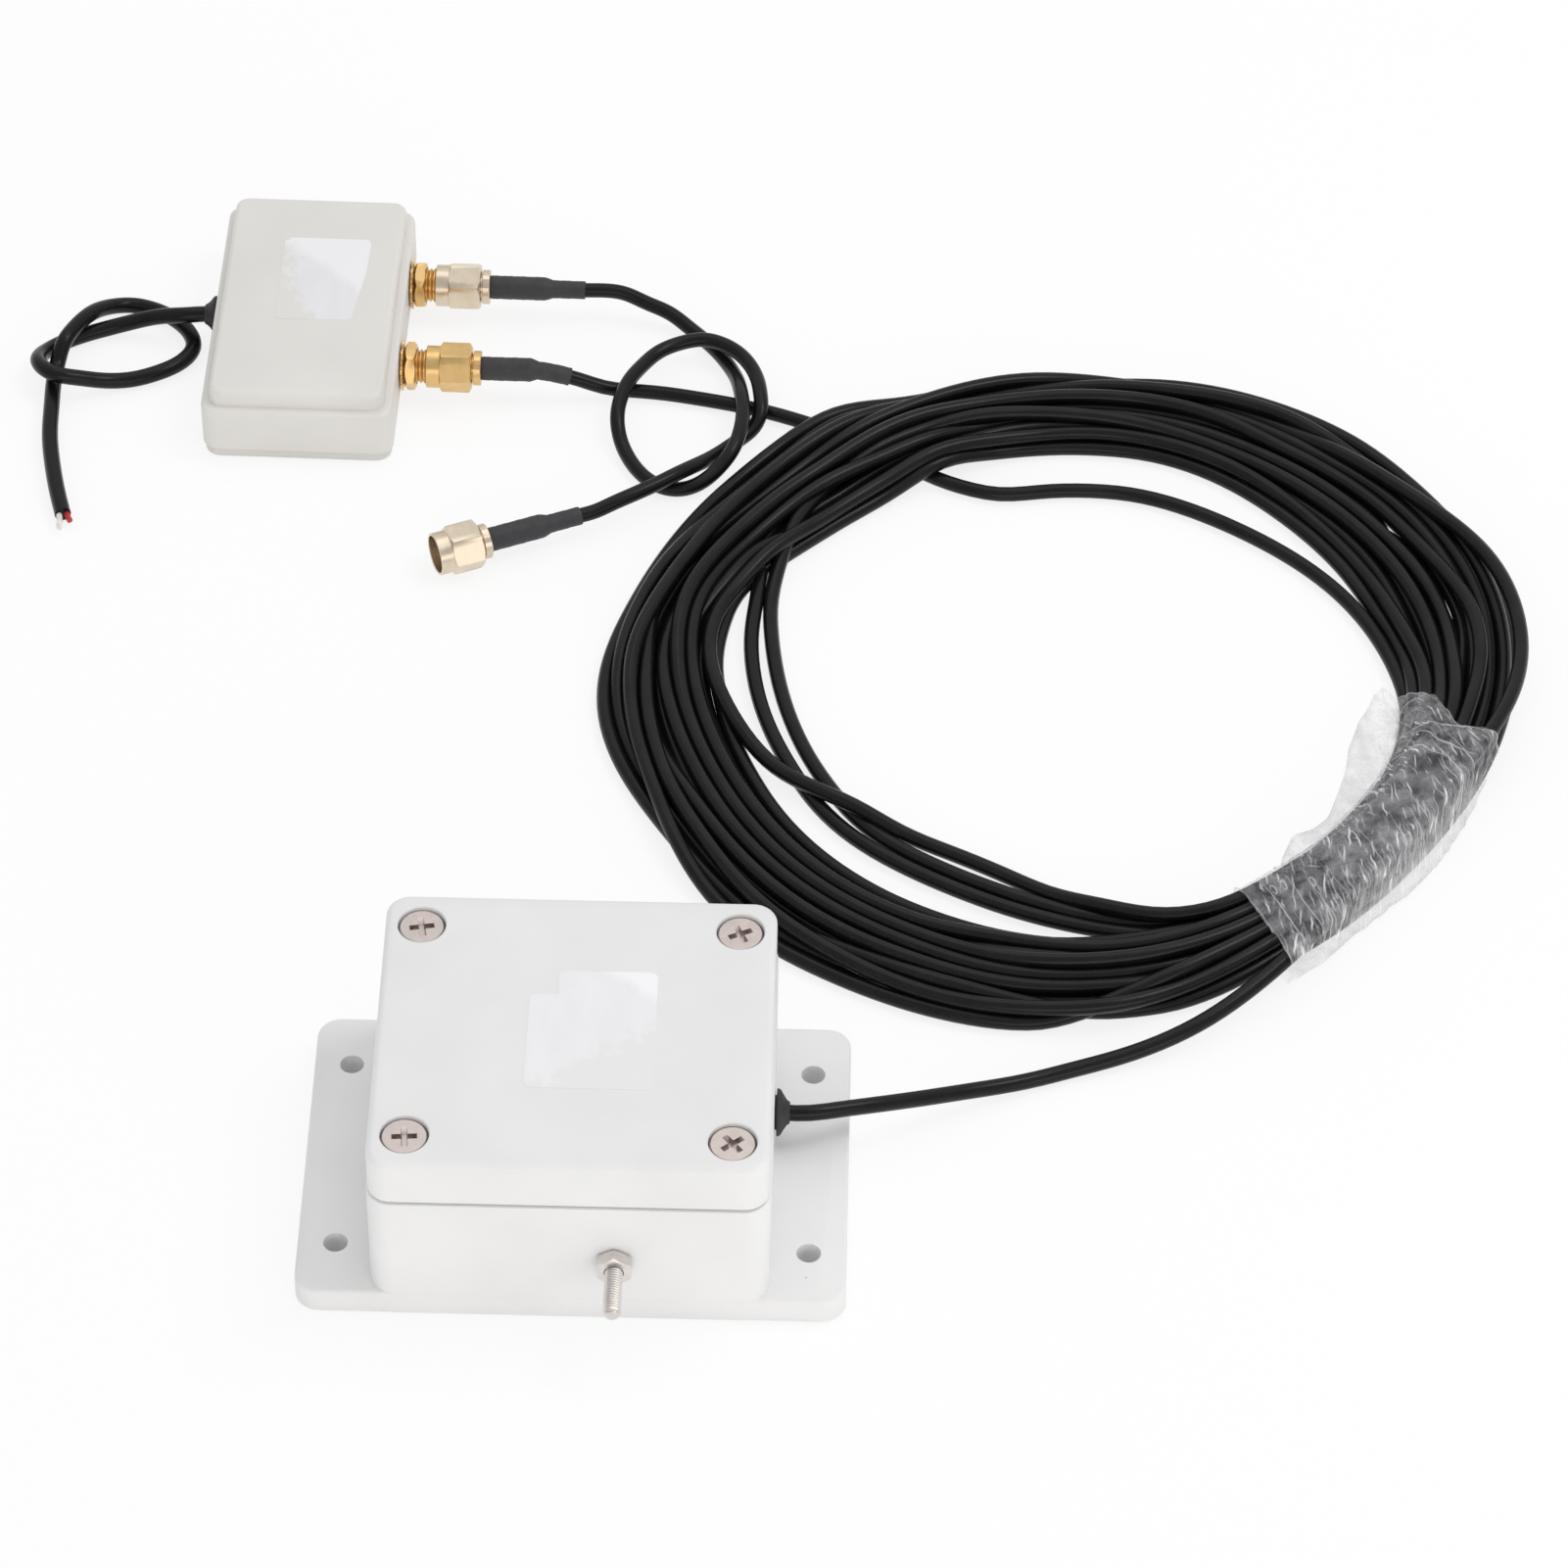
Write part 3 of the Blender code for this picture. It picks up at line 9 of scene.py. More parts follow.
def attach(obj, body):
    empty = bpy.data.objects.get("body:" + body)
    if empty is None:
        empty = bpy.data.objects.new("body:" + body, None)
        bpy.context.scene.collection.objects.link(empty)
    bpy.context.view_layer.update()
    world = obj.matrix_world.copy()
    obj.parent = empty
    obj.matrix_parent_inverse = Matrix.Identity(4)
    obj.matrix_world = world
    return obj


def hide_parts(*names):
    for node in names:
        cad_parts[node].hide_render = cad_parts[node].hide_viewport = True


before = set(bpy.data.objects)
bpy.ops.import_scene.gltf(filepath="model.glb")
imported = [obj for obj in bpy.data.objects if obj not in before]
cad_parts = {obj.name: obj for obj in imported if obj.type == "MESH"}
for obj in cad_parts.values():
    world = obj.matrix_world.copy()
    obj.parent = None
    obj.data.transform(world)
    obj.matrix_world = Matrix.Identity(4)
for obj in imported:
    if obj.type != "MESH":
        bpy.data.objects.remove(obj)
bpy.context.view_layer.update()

# Antenna box base
# The lower half of a weatherproof case, injection moulded in light grey ABS in one piece with
# two mounting ears. Bosses in its corners take the lid screws, two posts carry the board.


def clear_selection():
    if bpy.context.mode != "OBJECT":
        bpy.ops.object.mode_set(mode="OBJECT")
    bpy.ops.object.select_all(action="DESELECT")


def take(piece):
    """Makes one piece the only selected one."""
    clear_selection()
    bpy.context.view_layer.objects.active = piece
    piece.select_set(True)
    return piece


def fix_place(piece, matrix=None):
    """Puts a piece in its place and moves that place into its mesh."""
    take(piece)
    if matrix is not None:
        piece.matrix_world = matrix
    bpy.ops.object.transform_apply(location=True, rotation=True, scale=True)
    return piece


def block(name, low, high):
    """A cube drawn between two corners."""
    clear_selection()
    bpy.ops.mesh.primitive_cube_add(size=1, location=[(a + b) / 2 for a, b in zip(low, high)])
    piece = bpy.context.object
    piece.name = name
    piece.scale = [b - a for a, b in zip(low, high)]
    return fix_place(piece)


def drum(name, radius, low, high, at=(0, 0), sides=48):
    """A cylinder along Z between two heights."""
    clear_selection()
    middle = (*at, (low + high) / 2)
    bpy.ops.mesh.primitive_cylinder_add(vertices=sides, radius=radius, depth=high - low, location=middle)
    piece = bpy.context.object
    piece.name = name
    return fix_place(piece)


def pick(piece, kind, test):
    """Opens a piece for editing with only those edges or faces selected that pass a test."""
    take(piece)
    bpy.ops.object.mode_set(mode="EDIT")
    bpy.ops.mesh.select_mode(type=kind)
    bpy.ops.mesh.select_all(action="DESELECT")
    mesh = bmesh.from_edit_mesh(piece.data)
    for part in mesh.edges if kind == "EDGE" else mesh.faces:
        part.select_set(test(*[corner.co for corner in part.verts]))
    mesh.select_flush_mode()
    bmesh.update_edit_mesh(piece.data)


def round_edges(piece, test, radius, segments):
    pick(piece, "EDGE", test)
    bpy.ops.mesh.bevel(offset=radius, segments=segments, affect="EDGES")
    bpy.ops.object.mode_set(mode="OBJECT")


def upright(a, b):
    return abs(a.z - b.z) > 1e-5 and (a - b).xy.length < 1e-6


def at_level(z):
    return lambda a, b: abs(a.z - z) < 1e-6 and abs(b.z - z) < 1e-6


def combine(piece, tool, operation):
    """Joins another body to a piece, or cuts it away."""
    take(piece)
    change = piece.modifiers.new("shape", "BOOLEAN")
    change.operation = operation
    change.object = tool
    bpy.ops.object.modifier_apply(modifier=change.name)
    bpy.data.objects.remove(tool, do_unlink=True)


def node(tree, kind, settings=None, **inputs):
    """A shader node, with its inputs set or linked by name."""
    made = tree.nodes.new("ShaderNode" + kind)
    for key, value in (settings or {}).items():
        setattr(made, key, value)
    for key, value in inputs.items():
        socket = made.inputs[int(key[1:])] if key[0] == "_" else made.inputs[key.replace("_", " ")]
        if isinstance(value, bpy.types.NodeSocket):
            tree.links.new(value, socket)
        else:
            socket.default_value = value
    return made


def shade(name, **inputs):
    """A new material's node tree and its shader, with these constants set."""
    made = bpy.data.materials.new(name)
    made.use_nodes = True
    shader = made.node_tree.nodes["Principled BSDF"]
    for key, value in inputs.items():
        shader.inputs[key.replace("_", " ")].default_value = value
    return made, made.node_tree, shader


def tones(tree, amount, dark, light):
    """A colour between two tones."""
    ramp = node(tree, "ValToRGB", Fac=amount)
    ramp.color_ramp.elements[0].color = (*dark, 1)
    ramp.color_ramp.elements[1].color = (*light, 1)
    ramp.color_ramp.elements[0].position = 0.3
    ramp.color_ramp.elements[1].position = 0.7
    return ramp.outputs["Color"]


def surface_bump(tree, shader, height, strength, distance):
    bump = node(tree, "Bump", Height=height, Strength=strength, Distance=distance)
    tree.links.new(bump.outputs["Normal"], shader.inputs["Normal"])


def noise(tree, place, scale, detail, roughness=0.5):
    """Cloudy noise at a place."""
    made = node(tree, "TexNoise", Vector=place, Scale=scale, Detail=detail, Roughness=roughness)
    return made.outputs["Fac"]


def compute(tree, operation, *values):
    """The result of a sum on numbers and on other results."""
    inputs = {f"_{i}": value for i, value in enumerate(values)}
    return node(tree, "Math", {"operation": operation}, **inputs).outputs[0]


def mix(tree, share, first, second):
    """A colour between two others, all of it the second one at share 1."""
    return node(tree, "Mix", {"data_type": "RGBA"}, _0=share, _6=first, _7=second).outputs[2]


def moulded_plastic(name, colour):
    """Satin moulded plastic: faint clouding, a fine spark grain and a few dark specks."""
    speck_radius = 0.055
    speck_rarity = 0.93
    speck_strength = 0.4
    speck_colour = (0.30, 0.27, 0.24, 1)
    made, tree, shader = shade(name, Roughness=0.42)
    spot = node(tree, "TexCoord").outputs["Object"]
    cloud = noise(tree, spot, 55.0, 4.0)
    base = tones(tree, cloud, [0.965 * c for c in colour], [min(1, 1.02 * c) for c in colour])
    cells = node(tree, "TexVoronoi", Vector=spot, Scale=210.0)
    near = compute(tree, "LESS_THAN", cells.outputs["Distance"], speck_radius)
    chosen = node(tree, "SeparateColor", Color=cells.outputs["Color"]).outputs["Red"]
    rare = compute(tree, "GREATER_THAN", chosen, speck_rarity)
    speck = compute(tree, "MULTIPLY", near, rare)
    amount = compute(tree, "MULTIPLY", speck, speck_strength)
    tree.links.new(mix(tree, amount, base, speck_colour), shader.inputs["Base Color"])
    grain = noise(tree, spot, 2600.0, 2.0)
    surface_bump(tree, shader, grain, 0.12, 0.00008)
    return made


def dress(piece, finish, body, *cad_nodes):
    """Gives a finished piece its material and body, in place of its solids."""
    take(piece)
    if piece.type == "MESH":
        bpy.ops.object.shade_smooth_by_angle(angle=math.radians(32))
    piece.data.materials.clear()
    piece.data.materials.append(finish)
    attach(piece, body)
    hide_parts(*cad_nodes)
    return piece


body_width = 0.0645
body_depth = 0.0597
box_wall = 0.0028
box_rounding = 0.004
parting_z = 0.0263
boss_reach = 0.0042
pilot_radius = 0.0018
pilot_floor = 0.0135
ear_span = 0.0892
ear_thick = 0.0048
ear_proud = 0.0001
ear_hole_radius = 0.0020
ear_hole_x = 0.0384
ear_hole_y = 0.01945
post_x = 0.016
post_radius = 0.0028
post_top = 0.0072
post_hole_radius = 0.0014
post_hole_floor = 0.0045
stud_x = 0.0074
stud_z = 0.0141
stud_hole_radius = 0.00177
outlet_y = 0.0054
outlet_z = 0.0110
outlet_radius = 0.0032
broken_edge = 0.0003
cut_past = 0.01
wall_cut = 0.006
half_x = body_width / 2
half_y = body_depth / 2
box_half = (half_x, half_y)
screw_x = 0.02605
screw_y = 0.02285
screw_spots = [(-screw_x, screw_y), (screw_x, screw_y), (-screw_x, -screw_y), (screw_x, -screw_y)]


def inset_block(name, half, inset, low, high):
    """A block between two heights, this far inside half a width and half a depth."""
    x = half[0] - inset
    y = half[1] - inset
    return block(name, (-x, -y, low), (x, y, high))


def box_hollow(name, low, high):
    """The space inside the box: a block less its four corners, which stay as bosses."""
    hollow = inset_block(name, box_half, box_wall, low, high)
    for x, y in screw_spots:
        corner_x = x - math.copysign(boss_reach, x)
        corner_y = y - math.copysign(boss_reach, y)
        far_x = math.copysign(half_x, x)
        far_y = math.copysign(half_y, y)
        corner_low = (min(corner_x, far_x), min(corner_y, far_y), low - cut_past)
        corner_high = (max(corner_x, far_x), max(corner_y, far_y), high + cut_past)
        combine(hollow, block("boss", corner_low, corner_high), "DIFFERENCE")
    return hollow


base = inset_block("antenna_base", box_half, 0, 0, parting_z)
round_edges(base, upright, box_rounding, 8)
round_edges(base, at_level(parting_z), broken_edge, 2)
ear_half_y = half_y + ear_proud
ears = block("ears", (-ear_span / 2, -ear_half_y, 0), (ear_span / 2, ear_half_y, ear_thick))
round_edges(ears, upright, box_rounding, 8)
round_edges(ears, at_level(ear_thick), 2 * broken_edge, 3)
round_edges(ears, at_level(0), broken_edge, 2)
combine(base, ears, "UNION")
combine(base, box_hollow("inside", box_wall, parting_z + cut_past), "DIFFERENCE")
for x in (-post_x, post_x):
    combine(base, drum("post", post_radius, 0.001, post_top, (x, 0)), "UNION")
    combine(base, drum("post_hole", post_hole_radius, post_hole_floor, cut_past, (x, 0), 24), "DIFFERENCE")
for x, y in screw_spots:
    combine(base, drum("pilot", pilot_radius, pilot_floor, 0.03, (x, y), 24), "DIFFERENCE")
for x in (-ear_hole_x, ear_hole_x):
    for y in (-ear_hole_y, ear_hole_y):
        combine(base, drum("ear_hole", ear_hole_radius, -cut_past, cut_past, (x, y)), "DIFFERENCE")
stud_place = Matrix.Translation((stud_x, -half_y, stud_z)) @ Matrix.Rotation(math.pi / 2, 4, "X")
outlet_place = Matrix.Translation((half_x, outlet_y, outlet_z)) @ Matrix.Rotation(math.pi / 2, 4, "Y")
combine(base, fix_place(drum("stud_hole", stud_hole_radius, -wall_cut, wall_cut), stud_place), "DIFFERENCE")
combine(base, fix_place(drum("outlet", outlet_radius, -wall_cut, wall_cut), outlet_place), "DIFFERENCE")
case_colour = (0.812, 0.811, 0.812)
case_grey = moulded_plastic("light grey moulded plastic", case_colour)
dress(base, case_grey, "kit", "antenna_box_base")

# Antenna terminal
# A nickel-plated M3 screw put through the front wall from inside, with a solder lug under its
# head, held by a hexagon nut. Its free end takes the whip or the wire.


def plated_metal(name, colour, roughness):
    """Plated metal with faint scuffs that change its gloss."""
    made, tree, shader = shade(name, Metallic=1.0)
    spot = node(tree, "TexCoord").outputs["Object"]
    scuff = noise(tree, spot, 420.0, 6.0, 0.65)
    base = tones(tree, scuff, [0.86 * c for c in colour], [min(1, 1.06 * c) for c in colour])
    tree.links.new(base, shader.inputs["Base Color"])
    gloss = node(tree, "MapRange", Value=scuff, To_Min=0.75 * roughness, To_Max=1.3 * roughness)
    tree.links.new(gloss.outputs[0], shader.inputs["Roughness"])
    surface_bump(tree, shader, scuff, 0.06, 0.00006)
    return made


def turned(name, stations, sides=48):
    """A piece turned round Z: a circle drawn out and resized through (height, radius) stations."""
    clear_selection()
    height, radius = stations[0]
    start = (0, 0, height)
    bpy.ops.mesh.primitive_circle_add(vertices=sides, radius=radius, fill_type="NGON", location=start)
    piece = fix_place(bpy.context.object)
    piece.name = name
    bpy.ops.object.mode_set(mode="EDIT")
    bpy.ops.mesh.select_all(action="SELECT")
    for next_height, next_radius in stations[1:]:
        step = (0, 0, next_height - height)
        bpy.ops.mesh.extrude_region_move(TRANSFORM_OT_translate={"value": step})
        ratio = next_radius / radius
        bpy.ops.transform.resize(value=(ratio, ratio, 1), center_override=(0, 0, next_height))
        height, radius = next_height, next_radius
    bpy.ops.mesh.select_all(action="SELECT")
    bpy.ops.mesh.normals_make_consistent(inside=False)
    bpy.ops.object.mode_set(mode="OBJECT")
    return piece


def thread(low, high, root, crest, pitch):
    """Stations of a thread's grooves."""
    stations = []
    height = low
    while height + pitch <= high + 1e-9:
        for share, radius in ((0.0, root), (0.38, crest), (0.62, crest), (0.99, root)):
            stations.append((height + share * pitch, radius))
        height += pitch
    return stations


def hexagon(name, across, low, high, hole):
    """A hexagon nut with chamfered corners and a plain hole."""
    corner = across / math.sqrt(3)
    face = 0.475 * across
    slope = (corner - face) * 0.62
    nut = drum(name, corner, low, high, sides=6)
    lens = [(low, face), (low + slope, corner), (high - slope, corner), (high, face)]
    combine(nut, turned("chamfer", lens, 64), "INTERSECT")
    combine(nut, drum("hole", hole, low - cut_past, high + cut_past), "DIFFERENCE")
    return nut


def coat(names, finish):
    """Puts a finish on solids whose shape is right as it is."""
    for name in names:
        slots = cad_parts[name].data.materials
        slots.clear()
        slots.append(finish)


nickel = plated_metal("nickel plate", (0.75, 0.71, 0.68), 0.32)
stud_head = -0.0036
stud_nut_across = 0.0055
stud_stations = [
    (stud_head - 0.0022, 0.0010),
    (stud_head - 0.0021, 0.0018),
    (stud_head - 0.0013, 0.00272),
    (stud_head, 0.00275),
    (stud_head + 0.00001, 0.0014),
    *thread(stud_head + 0.0001, 0.0111, 0.00124, 0.00147, 0.0005),
    (0.0113, 0.00124),
    (0.0116, 0.00095),
]
stud = fix_place(turned("stud", stud_stations), stud_place)
dress(stud, nickel, "kit", "terminal_stud")
stud_nut = hexagon("stud_nut", stud_nut_across, 0.0003, 0.0027, 0.00160)
dress(fix_place(stud_nut, stud_place), nickel, "stud_nut", "terminal_nut")
coat(["terminal_lug"], nickel)

# Amplifier board
# A small green circuit board on the two posts, held by two screws, with the transistor, the
# output transformer, the lead from the stud and the stripped tail of the feeder.


def mottled(name, colour, roughness, scale, depth):
    """A plain material with the unevenness of its making."""
    made, tree, shader = shade(name, Roughness=roughness)
    spot = node(tree, "TexCoord").outputs["Object"]
    cloud = noise(tree, spot, scale, 5.0)
    base = tones(tree, cloud, [0.82 * c for c in colour], [min(1, 1.15 * c) for c in colour])
    tree.links.new(base, shader.inputs["Base Color"])
    surface_bump(tree, shader, cloud, 0.25, depth)
    return made


green_mask = mottled("green solder mask", (0.03, 0.20, 0.07), 0.35, 300.0, 0.00005)
black_body = mottled("black component body", (0.02, 0.02, 0.02), 0.5, 900.0, 0.00005)
windings = mottled("copper windings", (0.42, 0.17, 0.06), 0.35, 1400.0, 0.00020)
red_insulation = mottled("red wire insulation", (0.55, 0.03, 0.03), 0.45, 700.0, 0.00005)
coat(["amplifier_board"], green_mask)
coat(["amplifier_transistor"], black_body)
coat(["output_transformer"], windings)
coat(["input_lead"], red_insulation)
coat(["board_screw_1", "board_screw_2"], nickel)

# Cable outlets
# Black rubber grommets pushed into the walls of the two boxes, a flange on each side of the
# wall and a cone that grips the cable.


def grommet(name, rim, wall):
    """A grommet with flanges of this radius on both sides of a wall of this thickness."""
    stations = [
        (-wall - 0.0018, 0.78 * rim),
        (-wall - 0.0016, 0.84 * rim),
        (-wall - 0.0003, rim),
        (-wall - 0.00028, 0.0029),
        (0.0003, 0.0029),
        (0.00032, 0.97 * rim),
        (0.0006, rim),
        (0.0010, 0.93 * rim),
        (0.0015, 0.72 * rim),
        (0.0020, 0.0021),
        (0.0025, 0.0018),
    ]
    return turned(name, stations, 64)


rubber = mottled("black rubber", (0.022, 0.022, 0.024), 0.55, 600.0, 0.00010)
feeder_grommet = fix_place(grommet("feeder_grommet", 0.0040, box_wall), outlet_place)
dress(feeder_grommet, rubber, "kit", "antenna_grommet")

# Lid and seal
# The upper half of the case in the same plastic, with a rounded top edge, four counterbored
# screw holes and a rubber cord laid in a groove of its rim.

lid_low = 0.0266
lid_top = 0.0356
lid_inset = 0.0002
lid_ceiling = 0.0025
groove_middle = 0.0014
groove_half = 0.0008
groove_depth = 0.0014
screw_hole_stations = [
    (0.02, 0.0018),
    (0.0325, 0.0018),
    (0.03251, 0.00395),
    (0.0354, 0.00395),
    (0.0357, 0.0042),
    (0.04, 0.0044),
]
lid = inset_block("lid", box_half, lid_inset, lid_low, lid_top)
round_edges(lid, upright, 0.0039, 8)
round_edges(lid, at_level(lid_top), 0.0012, 6)
round_edges(lid, at_level(lid_low), 0.0004, 3)
combine(lid, box_hollow("lid_inside", lid_low - cut_past, lid_top - lid_ceiling), "DIFFERENCE")
groove_out = groove_middle - groove_half
groove_in = groove_middle + groove_half
groove = inset_block("groove", box_half, groove_out, lid_low - 0.001, lid_low + groove_depth)
round_edges(groove, upright, 0.0034, 6)
island = inset_block("island", box_half, groove_in, lid_low - 0.002, lid_low + 0.002)
round_edges(island, upright, 0.0018, 6)
combine(groove, island, "DIFFERENCE")
combine(lid, groove, "DIFFERENCE")
for x, y in screw_spots:
    hole = fix_place(turned("screw_hole", screw_hole_stations), Matrix.Translation((x, y, 0)))
    combine(lid, hole, "DIFFERENCE")
dress(lid, case_grey, "lid", "antenna_box_lid")
coat(["lid_seal"], mottled("grey seal rubber", (0.10, 0.10, 0.10), 0.7, 500.0, 0.00008))

# Lid screws
# Nickel-plated steel machine screws with a low cheese head and a cross recess, each stopped at
# its own angle.


def turn_z(degrees):
    return Matrix.Rotation(math.radians(degrees), 4, "Z")


screw_plate = plated_metal("dull nickel plate", (0.57, 0.505, 0.475), 0.34)
screw_turns = (10, 25, 4, 39)
screw_head_z = 0.0350
wing_x = 0.0027
wing_y = 0.00065
recess_depth = 0.0011
recess_taper = (0.50, 0.6, 1)
screw_stations = [
    (0.0, 0.0035),
    (-0.00022, 0.0037),
    (-0.0005, 0.0038),
    (-0.0022, 0.0038),
    (-0.00221, 0.0015),
    *[(-h, r) for h, r in thread(0.0024, 0.0166, 0.00122, 0.0015, 0.0005)],
    (-0.0172, 0.0010),
    (-0.0180, 0.0005),
]
for number, ((x, y), stopped_at) in enumerate(zip(screw_spots, screw_turns), start=1):
    screw = turned(f"screw_{number}", screw_stations)
    for quarter in (0, 90):
        wing = block("wing", (-wing_x, -wing_y, -recess_depth), (wing_x, wing_y, 0.001))
        pick(wing, "FACE", lambda *corners: all(c.z < 0 for c in corners))
        bpy.ops.transform.resize(value=recess_taper, center_override=(0, 0, -recess_depth))
        bpy.ops.object.mode_set(mode="OBJECT")
        combine(screw, fix_place(wing, turn_z(quarter)), "DIFFERENCE")
    fix_place(screw, Matrix.Translation((x, y, screw_head_z)) @ turn_z(stopped_at))
    dress(screw, screw_plate, f"screw_{number}", f"lid_screw_{number}")

# Label places
# Blank white film labels stuck on both boxes. They are rubbed thin and partly torn away, so that
# the plastic shows through on one side.


def worn_film(name, tone, bare, gone_from, gone_way, bright_from, bright_way):
    """White label film, milky with rubbed streaks, worn through to the bare plastic one way."""
    made, tree, shader = shade(name, Roughness=0.34)
    spot = node(tree, "TexCoord").outputs["Object"]
    streaks = node(tree, "Mapping", Vector=spot, Rotation=(0, 0, 0.6), Scale=(1, 0.3, 1)).outputs[0]
    rub = noise(tree, streaks, 260.0, 6.0, 0.6)
    tear = noise(tree, spot, 310.0, 5.0, 0.62)
    base = tones(tree, rub, (0.95 * tone, 0.947 * tone, 0.97 * tone), (tone, 0.997 * tone, 1.02 * tone))

    def worn(begin, way, size, rag):
        """1 beyond a ragged line that lies across this way."""
        way = way.normalized()
        far = node(tree, "VectorMath", {"operation": "DOT_PRODUCT"}, _0=spot, _1=way).outputs["Value"]
        ragged = compute(tree, "MULTIPLY_ADD", rag, size, far)
        start = begin.dot(way) + size / 2
        step = node(tree, "MapRange", Value=ragged, From_Min=start - 0.0008, From_Max=start + 0.0012)
        return step.outputs[0]

    bright = worn(bright_from, bright_way, 0.004, rub)
    film = mix(tree, bright, base, (1.07 * tone, 1.068 * tone, 1.095 * tone, 1))
    gone = worn(gone_from, gone_way, 0.016, tear)
    tree.links.new(mix(tree, gone, film, (*bare, 1)), shader.inputs["Base Color"])
    surface_bump(tree, shader, rub, 0.10, 0.00004)
    return made


def face_outward(piece):
    """Turns every face of a piece outward."""
    take(piece)
    bpy.ops.object.mode_set(mode="EDIT")
    bpy.ops.mesh.select_all(action="SELECT")
    bpy.ops.mesh.normals_make_consistent(inside=False)
    bpy.ops.object.mode_set(mode="OBJECT")
    return piece


def label(name, corners, z):
    """A thin plate cut to a polygon, whose corners are each given with their rounding."""
    outline = []
    for i, (x, y, rounding) in enumerate(corners):
        corner = Vector((x, y, z))
        before = Vector((*corners[i - 1][:2], z)) - corner
        after = Vector((*corners[(i + 1) % len(corners)][:2], z)) - corner
        start = corner + before.normalized() * rounding
        end = corner + after.normalized() * rounding
        for t in np.linspace(0, 1, 8):
            outline.append((1 - t) ** 2 * start + 2 * t * (1 - t) * corner + t**2 * end)
    clear_selection()
    bpy.ops.mesh.primitive_circle_add(vertices=len(outline), fill_type="NGON", location=(0, 0, 0))
    plate = bpy.context.object
    plate.name = name
    for vertex, point in zip(plate.data.vertices, outline):
        vertex.co = point
    thick = plate.modifiers.new("thickness", "SOLIDIFY")
    thick.thickness = 0.00004
    thick.offset = 0.0
    bpy.ops.object.modifier_apply(modifier=thick.name)
    return face_outward(plate)


lid_label_z = 0.03563
lid_label_corners = [
    (0.0130, 0.0132, 0.0016),
    (-0.0031, 0.0132, 0.0010),
    (-0.0029, 0.0079, 0.0003),
    (-0.0076, 0.0079, 0.0012),
    (-0.0078, -0.0124, 0.0016),
    (0.0130, -0.0124, 0.0016),
]
lid_film = worn_film(
    "white lid label film",
    tone=0.868,
    bare=case_colour,
    gone_from=Vector((0.0035, -0.0050, 0)),
    gone_way=Vector((0.59, -0.81, 0)),
    bright_from=Vector((0.0090, 0.0100, 0)),
    bright_way=Vector((0.62, 0.78, 0)),
)
lid_label = label("lid_label", lid_label_corners, lid_label_z)
dress(fix_place(lid_label), lid_film, "lid", "antenna_label")

# Injector box
# A small two-part case in a warmer grey: a flat base plate snapped into a deep cover whose top
# stands up from a narrow ledge. The board inside carries a choke and a capacitor.

injector_half = (0.0175, 0.029)
injector_top = 0.0150
injector_ledge = 0.0015
injector_ledge_z = 0.0115
injector_wall = 0.0018
injector_plate_top = 0.0020
injector_plate_inset = 0.0004
lip_play = 0.0003
jack_ys = {"upper": 0.0135, "lower": -0.0093}
jack_z = 0.0066
jack_hole_radius = 0.00345
supply_y = 0.0036
supply_z = 0.0062
supply_hole_radius = 0.0032
injector_wall_cut = 0.004
injector_place = Matrix.Translation((-0.0586, 0.2013, 0)) @ turn_z(-1.07)
injector_turn = injector_place.to_3x3()
along_x = Matrix.Rotation(math.pi / 2, 4, "Y")
against_x = Matrix.Rotation(-math.pi / 2, 4, "Y")
jack_places = {
    where: Matrix.Translation((injector_half[0], y, jack_z)) @ along_x for where, y in jack_ys.items()
}
supply_place = Matrix.Translation((-injector_half[0], supply_y, supply_z)) @ against_x
warm_colour = (0.760, 0.742, 0.708)
case_warm = moulded_plastic("warm grey moulded plastic", warm_colour)
cover = inset_block("injector_cover", injector_half, 0, 0.0023, injector_ledge_z)
round_edges(cover, upright, 0.003, 8)
round_edges(cover, at_level(injector_ledge_z), 0.0007, 4)
raised = inset_block("raised", injector_half, injector_ledge, 0.0105, injector_top)
round_edges(raised, upright, 0.0024, 8)
round_edges(raised, at_level(injector_top), 0.0011, 5)
combine(cover, raised, "UNION")
combine(cover, inset_block("inside", injector_half, injector_wall, 0.001, 0.0097), "DIFFERENCE")
crown_inset = injector_ledge + injector_wall
combine(cover, inset_block("crown", injector_half, crown_inset, 0.009, 0.0132), "DIFFERENCE")
for place in jack_places.values():
    hole = drum("jack_hole", jack_hole_radius, -injector_wall_cut, injector_wall_cut)
    combine(cover, fix_place(hole, place), "DIFFERENCE")
hole = drum("supply_hole", supply_hole_radius, -injector_wall_cut, injector_wall_cut)
combine(cover, fix_place(hole, supply_place), "DIFFERENCE")
dress(fix_place(cover, injector_place), case_warm, "kit", "injector_case")
plate = inset_block("injector_plate", injector_half, injector_plate_inset, 0, injector_plate_top)
round_edges(plate, upright, 0.0028, 8)
round_edges(plate, at_level(0), 0.0006, 4)
round_edges(plate, at_level(injector_plate_top), 0.0002, 2)
lip_inset = injector_wall + lip_play
lip = inset_block("lip", injector_half, lip_inset, 0.001, 0.0028)
combine(lip, inset_block("lip_inside", injector_half, lip_inset + injector_wall, 0, 0.004), "DIFFERENCE")
combine(plate, lip, "UNION")
plate_grey = moulded_plastic("grey base plastic", (0.715, 0.695, 0.665))
dress(fix_place(plate, injector_place), plate_grey, "kit", "injector_base")
supply_grommet = grommet("supply_grommet", 0.0035, injector_wall)
fix_place(supply_grommet, injector_place @ supply_place)
dress(supply_grommet, rubber, "kit", "power_grommet")
coat(["injector_board"], green_mask)
coat(["supply_capacitor"], black_body)
coat(["feed_choke"], windings)
injector_label_z = 0.01503
